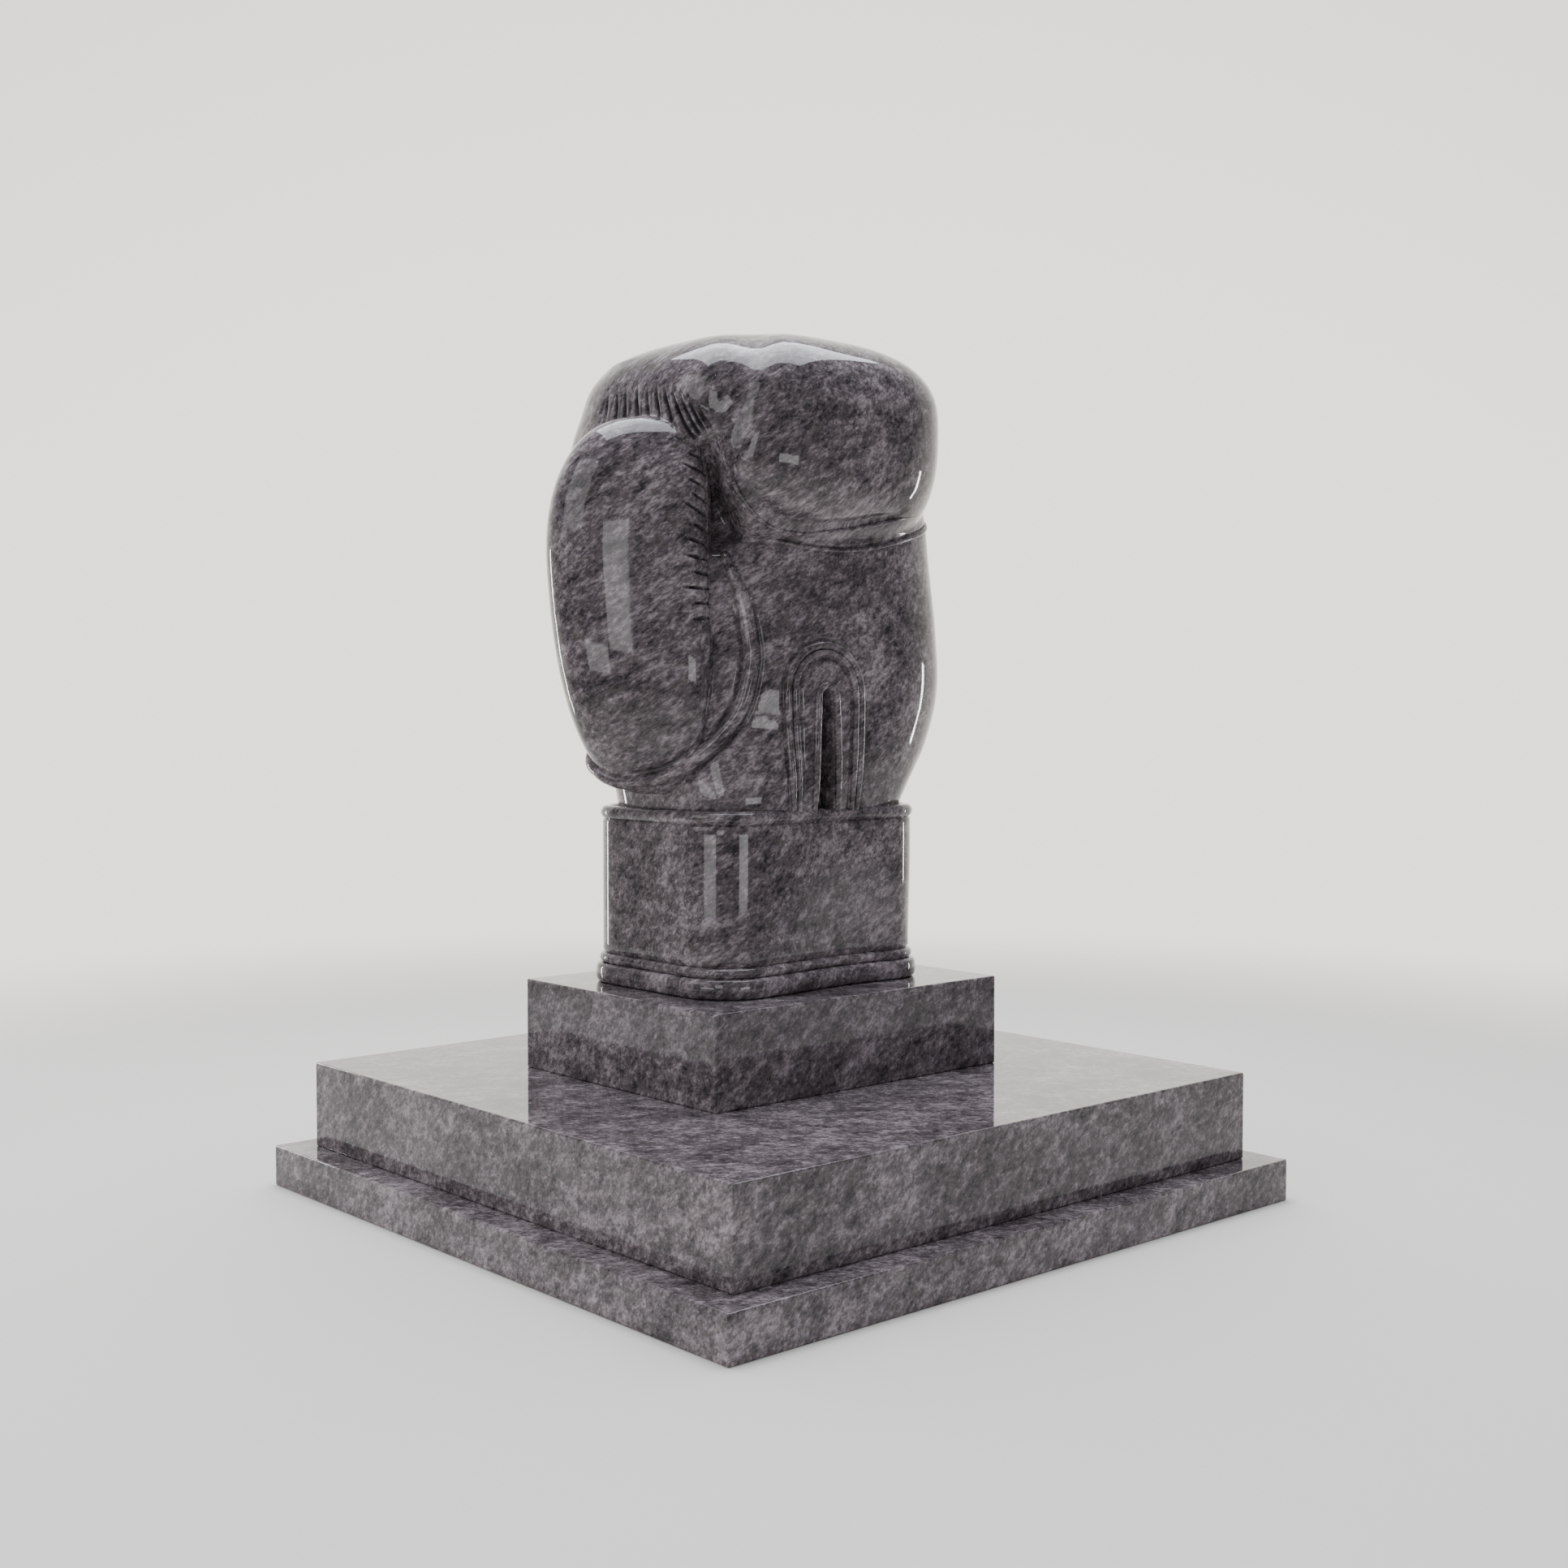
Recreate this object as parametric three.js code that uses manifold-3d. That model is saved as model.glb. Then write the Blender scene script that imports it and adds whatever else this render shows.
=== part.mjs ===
import * as THREE from "three";
import { LoftGeometry } from "three/addons/geometries/LoftGeometry.js";
import { mergeVertices } from "three/addons/utils/BufferGeometryUtils.js";
import Module from "manifold-3d";

// A polished granite headstone: a boxing glove standing on its cuff, on a plinth, a base and a foundation slab.
// Millimetres, +Z up. The palm faces -Y, the thumb is on the -X side and the back of the hand faces +Y.

// Three stacked blocks: width along X, depth along Y, height along Z
const SLAB = { width: 915, depth: 915, height: 52 };
const BASE = { width: 838, depth: 838, height: 109 };
const PLINTH = { width: 466, depth: 378, height: 113 };
const PLINTH_SET_BACK = 21;
const GLOVE_PLACE = { x: -4, y: 25 };

// Cuff: a rounded rectangle with a rounded foot, a bead above it and a bead round the brim
const CUFF = { halfWidth: 175, halfDepth: 136.5, corner: 63, height: 222, cornerSteps: 6, palmSteps: 12 };
const CUFF_FOOT = { from: 0, to: 25, proud: 9 };
const CUFF_LOWER_BEAD = { from: 25, to: 38, proud: 4 };
const CUFF_BRIM_BEAD = { from: 205, to: 222, proud: 2.5 };
const CUFF_GROOVE_DEPTH = 4;
const BEAD_STEPS = 5;
const CUFF_DENT = { depth: 14, centre: 40, spread: 95, full: 40, gone: 170 };

// Hand between cuff and knuckles: half widths at named heights, rounded into a soft rectangle
const HAND_HEIGHTS = [214, 250, 300, 365, 440, 520, 600, 680, 740];
const HAND_RIGHT = [170, 190, 218, 236, 232, 219, 208, 188, 140];
const HAND_LEFT = [166, 171, 177, 182, 185, 188, 190, 184, 130];
const HAND_PALM = [134, 141, 150, 157, 158, 157, 153, 138, 100];
const HAND_BACK = [132, 140, 154, 172, 190, 203, 209, 206, 150];
const HAND_POWER = 3.4;
const HAND_THUMB_SIDE_POWER = 2.3;
const HAND_AROUND = 40;
const HAND_LEVELS = 14;

// Padded pads as soft boxes: half sizes from a centre, powers for the plan, its near corner, the profile and its top
const KNUCKLES = {
  centre: new THREE.Vector3(4, 0, 692),
  right: 203, left: 198, palm: 202, back: 210, top: 112, bottom: 180,
  plan: 2.9, nearPlan: 2.9, profile: 2.7, topProfile: 2.7, turn: 0, lean: 0, bend: 0, around: 40, along: 20,
};
const THUMB_TURN = THREE.MathUtils.degToRad(-41.6);
const THUMB = {
  centre: new THREE.Vector3(-146, -128, 502).applyAxisAngle(new THREE.Vector3(0, 0, 1), THUMB_TURN),
  right: 112, left: 104, palm: 80, back: 90, top: 190, bottom: 262,
  plan: 2.5, nearPlan: 4.2, profile: 2.45, topProfile: 2.8, turn: THUMB_TURN, lean: -0.07, bend: 0.00042,
  around: 36, along: 20,
};

// Piping that runs under the thumb, as places across the three-quarter view and heights
const PIPING = { radius: 9, sunk: 4, sides: 6, steps: 24 };
const PIPING_ROUTE = [[-44, 540], [-16, 474], [-6, 425], [-6, 380], [-20, 340], [-50, 305], [-98, 270], [-150, 257]];

// Seam down the inner edge of the thumb
const SEAM = { radius: 3.5, sides: 5, steps: 8 };
const SEAM_ROUTE = [[-52, 520], [-50, 450], [-45, 394], [-41, 340]];

// Groove across the palm under the finger roll, by angle round the hand
const ROLL_GROOVE = { radius: 5, sides: 5, steps: 24, from: -140, to: -8, middle: -95, low: 540, rise: 0.011 };

// Lace opening in the heel of the palm: a welted arch with a slot in it
const ARCH = { middle: -6, half: 56, foot: 214, shoulder: 362, top: 424, inset: 14, turns: 8 };
const ARCH_GROOVE = { radius: 4.5, sides: 5, steps: 24 };
const SLOT = { bottomHalf: 14, topHalf: 8, top: 366, depth: 46 };
const ARCH_LEAN = -0.09;

// Gathers: slim hollows pressed into the stone
const GATHER_SIDES = 6;
const GATHER_RINGS = 4;
const THUMB_GATHERS = { count: 14, low: 440, high: 655, angle: -50, length: 44, width: 8, depth: 5, slant: -0.3 };
const KNUCKLE_GATHERS = { count: 11, from: 62, to: -98, height: 700, length: 62, width: 8, depth: 5 };
const PINCH = new THREE.Vector3(-174, -125, 660);
const PINCH_CREASES = { count: 6, first: 20, turn: 36, reach: 30, length: 46, width: 8, depth: 7 };
const VALLEY = { across: -26, height: 708, length: 120, width: 46, depth: 9, tilt: 0.36 };
const CLEFT = { across: -44, near: 172, height: 592, length: 112, width: 52, depth: 26, tilt: -0.2 };
const ROLL_END = { across: -50, near: 205, height: 656, slope: 55, tilt: 0.32, brow: 652, depth: 40, reach: 1000 };
const FOLD_SIDES = 10;
const FOLD_RINGS = 8;

const STONE = { color: 0x5d5a61, roughness: 0.12, metalness: 0 };

const VIEW_ACROSS = new THREE.Vector3(1, 0, 0).applyAxisAngle(new THREE.Vector3(0, 0, 1), THUMB_TURN);
const VIEW_NEAR = new THREE.Vector3(0, -1, 0).applyAxisAngle(new THREE.Vector3(0, 0, 1), THUMB_TURN);
const UP = new THREE.Vector3(0, 0, 1);

const wasm = await Module();
wasm.setup();

function toSolid(geometry) {
  const bare = new THREE.BufferGeometry();
  bare.setAttribute("position", geometry.attributes.position);
  bare.setIndex(geometry.index);
  const merged = mergeVertices(bare, 1e-4);
  return new wasm.Manifold(new wasm.Mesh({
    numProp: 3,
    vertProperties: new Float32Array(merged.attributes.position.array),
    triVerts: new Uint32Array(merged.index.array),
  }));
}

function toGeometry(solid) {
  const mesh = solid.getMesh();
  const geometry = new THREE.BufferGeometry();
  geometry.setAttribute("position", new THREE.BufferAttribute(new Float32Array(mesh.vertProperties), 3));
  geometry.setIndex(new THREE.BufferAttribute(new Uint32Array(mesh.triVerts), 1));
  geometry.computeVertexNormals();
  return geometry;
}

function signedPower(value, power) {
  return Math.sign(value) * Math.abs(value) ** power;
}

// Smooth curve through the values at the named heights
function valueAt(values, height) {
  const last = HAND_HEIGHTS.length - 1;
  const z = THREE.MathUtils.clamp(height, HAND_HEIGHTS[0], HAND_HEIGHTS[last]);
  let i = 0;
  while (i < last - 1 && z > HAND_HEIGHTS[i + 1]) {
    i += 1;
  }
  const slope = (k) => {
    const low = Math.max(k - 1, 0);
    const high = Math.min(k + 1, last);
    return (values[high] - values[low]) / (HAND_HEIGHTS[high] - HAND_HEIGHTS[low]);
  };
  const span = HAND_HEIGHTS[i + 1] - HAND_HEIGHTS[i];
  const t = (z - HAND_HEIGHTS[i]) / span;
  const rise = values[i + 1] - values[i];
  const bend = (1 - t) * slope(i) * span - t * slope(i + 1) * span - (1 - 2 * t) * rise;
  return values[i] + t * rise + t * (1 - t) * bend;
}

// The corner that the thumb lies on is rounder than the other three
function handPower(x, y) {
  return x < 0 && y < 0 ? HAND_THUMB_SIDE_POWER : HAND_POWER;
}

function handPoint(angle, height) {
  const cos = Math.cos(angle);
  const sin = Math.sin(angle);
  const across = valueAt(cos > 0 ? HAND_RIGHT : HAND_LEFT, height);
  const through = valueAt(sin > 0 ? HAND_BACK : HAND_PALM, height);
  const power = handPower(cos, sin);
  return new THREE.Vector3(across * signedPower(cos, 2 / power), through * signedPower(sin, 2 / power), height);
}

function handGeometry() {
  const sections = [];
  const low = HAND_HEIGHTS[0];
  const high = HAND_HEIGHTS[HAND_HEIGHTS.length - 1];
  for (let level = 0; level <= HAND_LEVELS; level += 1) {
    const height = THREE.MathUtils.lerp(low, high, level / HAND_LEVELS);
    const ring = [];
    for (let step = 0; step < HAND_AROUND; step += 1) {
      ring.push(handPoint((2 * Math.PI * step) / HAND_AROUND, height));
    }
    sections.push(ring);
  }
  return new LoftGeometry(sections, { capStart: true, capEnd: true });
}

function planPower(pad, x, y) {
  return x > 0 && y < 0 ? pad.nearPlan : pad.plan;
}

function profilePower(pad, rise) {
  return rise > 0 ? pad.topProfile : pad.profile;
}

// Sideways shift of a pad that leans, and bends back above its middle
function padShift(pad, rise) {
  return pad.lean * rise + pad.bend * Math.max(rise, 0) ** 2;
}

// A point of a pad's skin from a direction on the unit ball
function padPoint(pad, direction) {
  const ring = Math.max(Math.hypot(direction.x, direction.y), 1e-9);
  const profile = profilePower(pad, direction.z);
  const swell = ring ** (2 / profile);
  const cos = ring > 1e-6 ? direction.x / ring : 0;
  const sin = ring > 1e-6 ? direction.y / ring : 0;
  const plan = planPower(pad, cos, sin);
  const height = signedPower(direction.z, 2 / profile) * (direction.z > 0 ? pad.top : pad.bottom);
  const point = new THREE.Vector3(
    swell * signedPower(cos, 2 / plan) * (cos > 0 ? pad.right : pad.left) + padShift(pad, height),
    swell * signedPower(sin, 2 / plan) * (sin > 0 ? pad.back : pad.palm),
    height,
  );
  return point.applyAxisAngle(UP, pad.turn).add(pad.centre);
}

function padGeometry(pad) {
  const ball = new THREE.SphereGeometry(1, pad.around, pad.along);
  ball.rotateX(Math.PI / 2);
  const position = ball.attributes.position;
  const direction = new THREE.Vector3();
  for (let i = 0; i < position.count; i += 1) {
    direction.fromBufferAttribute(position, i);
    const point = padPoint(pad, direction);
    position.setXYZ(i, point.x, point.y, point.z);
  }
  return ball;
}

// Share of the way from a pad's middle to its skin: below 1 is inside
function padShare(pad, point) {
  const local = point.clone().sub(pad.centre).applyAxisAngle(UP, -pad.turn);
  const x = local.x - padShift(pad, local.z);
  const across = Math.abs(x) / (x > 0 ? pad.right : pad.left);
  const through = Math.abs(local.y) / (local.y > 0 ? pad.back : pad.palm);
  const power = planPower(pad, x, local.y);
  const profile = profilePower(pad, local.z);
  const rise = Math.abs(local.z) / (local.z > 0 ? pad.top : pad.bottom);
  return (across ** power + through ** power) ** (profile / power) + rise ** profile;
}

function handShare(point) {
  const across = Math.abs(point.x) / valueAt(point.x > 0 ? HAND_RIGHT : HAND_LEFT, point.z);
  const through = Math.abs(point.y) / valueAt(point.y > 0 ? HAND_BACK : HAND_PALM, point.z);
  const power = handPower(point.x, point.y);
  return across ** power + through ** power;
}

function isStone(point) {
  return handShare(point) < 1 || padShare(KNUCKLES, point) < 1 || padShare(THUMB, point) < 1;
}

// First stone met when coming straight in from the near corner, at a place across the view and a height
function faceAt(across, height) {
  const start = VIEW_ACROSS.clone().multiplyScalar(across).addScaledVector(UP, height);
  let near = 420;
  const probe = () => start.clone().addScaledVector(VIEW_NEAR, near);
  while (near > -200 && !isStone(probe())) {
    near -= 2;
  }
  return probe();
}

function diamond(radius, sides) {
  const shape = new THREE.Shape();
  for (let i = 0; i < sides; i += 1) {
    const angle = (2 * Math.PI * i) / sides;
    const x = radius * Math.cos(angle);
    const y = radius * Math.sin(angle);
    if (i === 0) {
      shape.moveTo(x, y);
    } else {
      shape.lineTo(x, y);
    }
  }
  return shape;
}

function rodAlong(points, rod) {
  const path = new THREE.CatmullRomCurve3(points);
  return new THREE.ExtrudeGeometry(diamond(rod.radius, rod.sides), {
    steps: rod.steps,
    extrudePath: path,
    bevelEnabled: false,
  });
}

function routeOnFace(route, sunk) {
  return route.map(([across, height]) => faceAt(across, height).addScaledVector(VIEW_NEAR, -sunk));
}

// A slim hollow lying along a direction, pressed in square to the skin
function hollowAt(centre, along, outward, size, sides = GATHER_SIDES, rings = GATHER_RINGS) {
  const lens = new THREE.SphereGeometry(1, sides, rings);
  lens.rotateZ(Math.PI / 2);
  const run = along.clone().addScaledVector(outward, -along.dot(outward)).normalize();
  const side = new THREE.Vector3().crossVectors(outward, run);
  const frame = new THREE.Matrix4().makeBasis(
    run.multiplyScalar(size.length / 2),
    side.multiplyScalar(size.width / 2),
    outward.clone().multiplyScalar(size.depth),
  );
  frame.setPosition(centre);
  lens.applyMatrix4(frame);
  return lens;
}

function outwardOf(pad, point) {
  const slope = new THREE.Vector3();
  const step = 0.5;
  for (const axis of ["x", "y", "z"]) {
    const ahead = point.clone();
    const behind = point.clone();
    ahead[axis] += step;
    behind[axis] -= step;
    slope[axis] = padShare(pad, ahead) - padShare(pad, behind);
  }
  return slope.normalize();
}

// Direction on the unit ball that lands on a pad's skin at a height and an angle round it
function padDirection(pad, height, angle) {
  const rise = height - pad.centre.z;
  const share = THREE.MathUtils.clamp(rise / (rise > 0 ? pad.top : pad.bottom), -1, 1);
  const z = signedPower(share, profilePower(pad, rise) / 2);
  const ring = Math.sqrt(Math.max(1 - z * z, 0));
  return new THREE.Vector3(ring * Math.cos(angle), ring * Math.sin(angle), z);
}

function thumbGathers() {
  const angle = THREE.MathUtils.degToRad(THUMB_GATHERS.angle);
  const hollows = [];
  for (let i = 0; i < THUMB_GATHERS.count; i += 1) {
    const height = THREE.MathUtils.lerp(THUMB_GATHERS.low, THUMB_GATHERS.high, i / (THUMB_GATHERS.count - 1));
    const centre = padPoint(THUMB, padDirection(THUMB, height, angle));
    const outward = outwardOf(THUMB, centre);
    const along = new THREE.Vector3().crossVectors(UP, outward).normalize();
    along.addScaledVector(UP, THUMB_GATHERS.slant);
    hollows.push(hollowAt(centre, along, outward, THUMB_GATHERS));
  }
  return hollows;
}

function skinOfKnuckles(y, height) {
  const point = new THREE.Vector3(-320, y, height);
  while (padShare(KNUCKLES, point) > 1) {
    point.x += 1;
  }
  return point;
}

function knuckleGathers() {
  const hollows = [];
  for (let i = 0; i < KNUCKLE_GATHERS.count; i += 1) {
    const y = THREE.MathUtils.lerp(KNUCKLE_GATHERS.from, KNUCKLE_GATHERS.to, i / (KNUCKLE_GATHERS.count - 1));
    const centre = skinOfKnuckles(y, KNUCKLE_GATHERS.height);
    hollows.push(hollowAt(centre, UP, outwardOf(KNUCKLES, centre), KNUCKLE_GATHERS));
  }
  return hollows;
}

// Creases spreading from the point where the finger roll is drawn together, and the valley above it
function pinchCreases() {
  const outward = outwardOf(KNUCKLES, PINCH);
  const level = new THREE.Vector3().crossVectors(UP, outward).normalize();
  const hollows = [];
  for (let i = 0; i < PINCH_CREASES.count; i += 1) {
    const angle = THREE.MathUtils.degToRad(PINCH_CREASES.first + PINCH_CREASES.turn * (i - 1));
    const along = level.clone().multiplyScalar(Math.cos(angle)).addScaledVector(UP, Math.sin(angle));
    const centre = PINCH.clone().addScaledVector(along, PINCH_CREASES.reach);
    hollows.push(hollowAt(centre, along, outward, PINCH_CREASES));
  }
  const centre = faceAt(VALLEY.across, VALLEY.height);
  const along = UP.clone().addScaledVector(VIEW_ACROSS, VALLEY.tilt);
  hollows.push(hollowAt(centre, along, outwardOf(KNUCKLES, centre), VALLEY, FOLD_SIDES, FOLD_RINGS));
  return hollows;
}

// Hollow in the hand between the thumb and the finger roll
function cleft() {
  const centre = UP.clone().multiplyScalar(CLEFT.height);
  centre.addScaledVector(VIEW_ACROSS, CLEFT.across).addScaledVector(VIEW_NEAR, CLEFT.near);
  const along = UP.clone().addScaledVector(VIEW_ACROSS, CLEFT.tilt);
  return hollowAt(centre, along, VIEW_NEAR, CLEFT, FOLD_SIDES, FOLD_RINGS);
}

// Room left where the finger roll ends on a slant beside the thumb
function rollEndRoom() {
  const slope = THREE.MathUtils.degToRad(ROLL_END.slope);
  const slant = VIEW_ACROSS.clone().multiplyScalar(-Math.sin(slope));
  slant.addScaledVector(UP, -Math.cos(slope)).addScaledVector(VIEW_NEAR, ROLL_END.tilt).normalize();
  const corner = VIEW_ACROSS.clone().multiplyScalar(ROLL_END.across);
  corner.addScaledVector(UP, ROLL_END.height).addScaledVector(VIEW_NEAR, ROLL_END.near);
  const room = toSolid(new THREE.BoxGeometry(ROLL_END.reach, ROLL_END.reach, 2 * ROLL_END.reach));
  return room
    .trimByPlane(slant.toArray(), slant.dot(corner))
    .trimByPlane([0, 0, -1], -ROLL_END.brow)
    .trimByPlane(VIEW_NEAR.toArray(), ROLL_END.depth);
}

function rollGroove() {
  const points = [];
  for (let i = 0; i <= ROLL_GROOVE.steps / 2; i += 1) {
    const degrees = THREE.MathUtils.lerp(ROLL_GROOVE.from, ROLL_GROOVE.to, (2 * i) / ROLL_GROOVE.steps);
    const height = ROLL_GROOVE.low + ROLL_GROOVE.rise * (degrees - ROLL_GROOVE.middle) ** 2;
    points.push(handPoint(THREE.MathUtils.degToRad(degrees), height));
  }
  return rodAlong(points, ROLL_GROOVE);
}

// The palm's skin at a place across the lace opening and a height
function palmPoint(offset, height) {
  const x = ARCH.middle + ARCH_LEAN * (height - ARCH.foot) + offset;
  const across = Math.abs(x) / valueAt(x > 0 ? HAND_RIGHT : HAND_LEFT, height);
  const power = handPower(x, -1);
  const through = (1 - across ** power) ** (1 / power);
  return new THREE.Vector3(x, -through * valueAt(HAND_PALM, height), height);
}

function archGroove(inset) {
  const half = ARCH.half - inset;
  const rise = ARCH.top - ARCH.shoulder - inset;
  const waist = (ARCH.foot + ARCH.shoulder) / 2;
  const points = [palmPoint(-half, ARCH.foot), palmPoint(-half, waist)];
  for (let i = 0; i <= ARCH.turns; i += 1) {
    const angle = Math.PI * (1 - i / ARCH.turns);
    points.push(palmPoint(half * Math.cos(angle), ARCH.shoulder + rise * Math.sin(angle)));
  }
  points.push(palmPoint(half, waist), palmPoint(half, ARCH.foot));
  return rodAlong(points, ARCH_GROOVE);
}

function slotGeometry() {
  const shoulder = SLOT.top - SLOT.topHalf;
  const foot = palmPoint(0, ARCH.foot).x;
  const head = palmPoint(0, shoulder).x;
  const shape = new THREE.Shape();
  shape.moveTo(foot - SLOT.bottomHalf, ARCH.foot);
  shape.lineTo(foot + SLOT.bottomHalf, ARCH.foot);
  shape.lineTo(head + SLOT.topHalf, shoulder);
  shape.absarc(head, shoulder, SLOT.topHalf, 0, Math.PI, false);
  shape.closePath();
  const block = new THREE.ExtrudeGeometry(shape, { depth: SLOT.depth * 2, bevelEnabled: false, curveSegments: 4 });
  block.rotateX(Math.PI / 2);
  block.translate(0, SLOT.depth + palmPoint(0, shoulder).y, 0);
  return block;
}

// Cuff outline at a height, pushed out from the wall by a moulding
function cuffRing(proud, height) {
  const fade = 1 - THREE.MathUtils.smoothstep(height, CUFF_DENT.full, CUFF_DENT.gone);
  const corner = CUFF.corner + proud;
  const across = CUFF.halfWidth - CUFF.corner;
  const through = CUFF.halfDepth - CUFF.corner;
  const ring = [];
  const turns = [[1, -1, -90], [1, 1, 0], [-1, 1, 90], [-1, -1, 180]];
  for (const [sideX, sideY, start] of turns) {
    for (let step = 0; step <= CUFF.cornerSteps; step += 1) {
      const angle = THREE.MathUtils.degToRad(start + (90 * step) / CUFF.cornerSteps);
      const x = sideX * across + corner * Math.cos(angle);
      const y = sideY * through + corner * Math.sin(angle);
      ring.push(new THREE.Vector3(x, y, height));
    }
  }
  for (let step = 1; step < CUFF.palmSteps; step += 1) {
    const x = THREE.MathUtils.lerp(-across, across, step / CUFF.palmSteps);
    const dent = fade * CUFF_DENT.depth * Math.exp(-(((x - CUFF_DENT.centre) / CUFF_DENT.spread) ** 2));
    ring.push(new THREE.Vector3(x, dent - CUFF.halfDepth - proud, height));
  }
  return ring;
}

function beadProfile(bead) {
  const half = (bead.to - bead.from) / 2;
  const middle = (bead.to + bead.from) / 2;
  const profile = [];
  for (let step = 0; step <= BEAD_STEPS; step += 1) {
    const angle = Math.PI * (step / BEAD_STEPS - 0.5);
    const proud = (bead.proud + CUFF_GROOVE_DEPTH) * Math.cos(angle) ** 0.7 - CUFF_GROOVE_DEPTH;
    profile.push([proud, middle + half * Math.sin(angle)]);
  }
  return profile;
}

function cuffGeometry() {
  const foot = beadProfile(CUFF_FOOT);
  const profile = [
    [CUFF_FOOT.proud - 3, CUFF_FOOT.from],
    ...foot.slice(2),
    ...beadProfile(CUFF_LOWER_BEAD).slice(1),
    [0, CUFF_LOWER_BEAD.to + CUFF_GROOVE_DEPTH],
    [0, (CUFF_LOWER_BEAD.to + CUFF_BRIM_BEAD.from) / 2],
    [0, CUFF_BRIM_BEAD.from - CUFF_GROOVE_DEPTH],
    ...beadProfile(CUFF_BRIM_BEAD),
  ];
  const sections = profile.map(([proud, height]) => cuffRing(proud, height));
  return new LoftGeometry(sections, { capStart: true, capEnd: true });
}

function gloveGeometry() {
  const hand = toSolid(handGeometry()).subtract(toSolid(cleft()));
  const knuckles = toSolid(padGeometry(KNUCKLES)).subtract(rollEndRoom());
  let stone = toSolid(cuffGeometry()).add(hand).add(knuckles).add(toSolid(padGeometry(THUMB)));
  stone = stone.add(toSolid(rodAlong(routeOnFace(PIPING_ROUTE, PIPING.sunk), PIPING)));
  const hollows = [
    rodAlong(routeOnFace(SEAM_ROUTE, 0), SEAM),
    rollGroove(),
    archGroove(0),
    archGroove(ARCH.inset),
    slotGeometry(),
    ...thumbGathers(),
    ...knuckleGathers(),
    ...pinchCreases(),
  ];
  for (const hollow of hollows) {
    stone = stone.subtract(toSolid(hollow));
  }
  return toGeometry(stone);
}

function stonePiece(name, geometry, x, y, z) {
  const mesh = new THREE.Mesh(geometry, new THREE.MeshStandardMaterial(STONE));
  mesh.name = name;
  mesh.position.set(x, y, z);
  return mesh;
}

function block(name, size, y, underside) {
  const box = new THREE.BoxGeometry(size.width, size.depth, size.height);
  return stonePiece(name, box, 0, y, underside + size.height / 2);
}

const headstone = new THREE.Group();
headstone.name = "boxing_glove_headstone";
headstone.add(block("foundation_slab", SLAB, 0, 0));
headstone.add(block("base", BASE, 0, SLAB.height));
headstone.add(block("plinth", PLINTH, PLINTH_SET_BACK, SLAB.height + BASE.height));
const plinthTop = SLAB.height + BASE.height + PLINTH.height;
headstone.add(stonePiece("glove", gloveGeometry(), GLOVE_PLACE.x, GLOVE_PLACE.y, plinthTop));

export default headstone;
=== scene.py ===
"""A polished granite headstone: a boxing glove carved in one stone, standing on three stacked blocks."""
import logging
import math
from collections.abc import Callable, Sequence
from dataclasses import dataclass, replace
from enum import Enum

import bmesh
import bpy
import numpy as np
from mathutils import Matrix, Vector


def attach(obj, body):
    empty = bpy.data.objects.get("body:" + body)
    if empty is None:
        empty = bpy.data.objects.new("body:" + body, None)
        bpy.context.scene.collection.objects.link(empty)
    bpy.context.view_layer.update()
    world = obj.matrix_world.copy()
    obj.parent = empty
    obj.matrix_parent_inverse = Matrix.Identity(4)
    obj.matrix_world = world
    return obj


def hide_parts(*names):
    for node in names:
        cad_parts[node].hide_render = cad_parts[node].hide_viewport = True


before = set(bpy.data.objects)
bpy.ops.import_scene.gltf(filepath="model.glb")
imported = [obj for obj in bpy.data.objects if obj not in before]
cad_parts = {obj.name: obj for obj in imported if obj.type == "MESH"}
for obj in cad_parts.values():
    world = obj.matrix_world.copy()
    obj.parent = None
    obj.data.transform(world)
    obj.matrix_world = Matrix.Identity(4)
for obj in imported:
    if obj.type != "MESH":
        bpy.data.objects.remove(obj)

LOG = logging.getLogger("headstone")
MM = 0.001
TINY = 1e-6
# CARVED names the point attribute for depth in a narrow cut; it drives the painted shade and the matt finish
# there.
CARVED = "carved"
BODY = "root"
# A cut dies away at CUT_REACH widths from its line. A slit goes straight in for CUT_THROUGH millimetres.
CUT_REACH = 3.2
CUT_THROUGH = 12.0
CREASE_FALL = 1.6
# A cast line goes CAST_SHARE of the way to a form in each step.
CAST_STEPS = 120
CAST_SHARE = 0.6

Colour = tuple[float, float, float]
Point = tuple[float, float, float]
Line = Sequence[tuple[float, float]]
Field = Callable[[np.ndarray], np.ndarray]
Socket = bpy.types.NodeSocket


def smooth_step(low: float, high: float, value: np.ndarray) -> np.ndarray:
    """Ease from 0 at low to 1 at high.

    Args:
        low: Value at which it starts.
        high: Value at which it is full.
        value: Values to ease.

    Returns:
        One share for each value.
    """
    share = np.clip((value - low) / (high - low), 0.0, 1.0)
    return share * share * (3.0 - 2.0 * share)


def blend_join(first: np.ndarray, second: np.ndarray, radius: np.ndarray | float) -> np.ndarray:
    """Join two distance fields with a fillet.

    Args:
        first: Distances to one form.
        second: Distances to the other form.
        radius: Size of the fillet between them.

    Returns:
        Distances to the joined form.
    """
    share = np.clip(0.5 + 0.5 * (second - first) / radius, 0.0, 1.0)
    return second + (first - second) * share - radius * share * (1.0 - share)


def signed_power(value: np.ndarray, power: float) -> np.ndarray:
    """Raise to a power and keep the sign."""
    return np.sign(value) * np.abs(value) ** power


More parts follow.
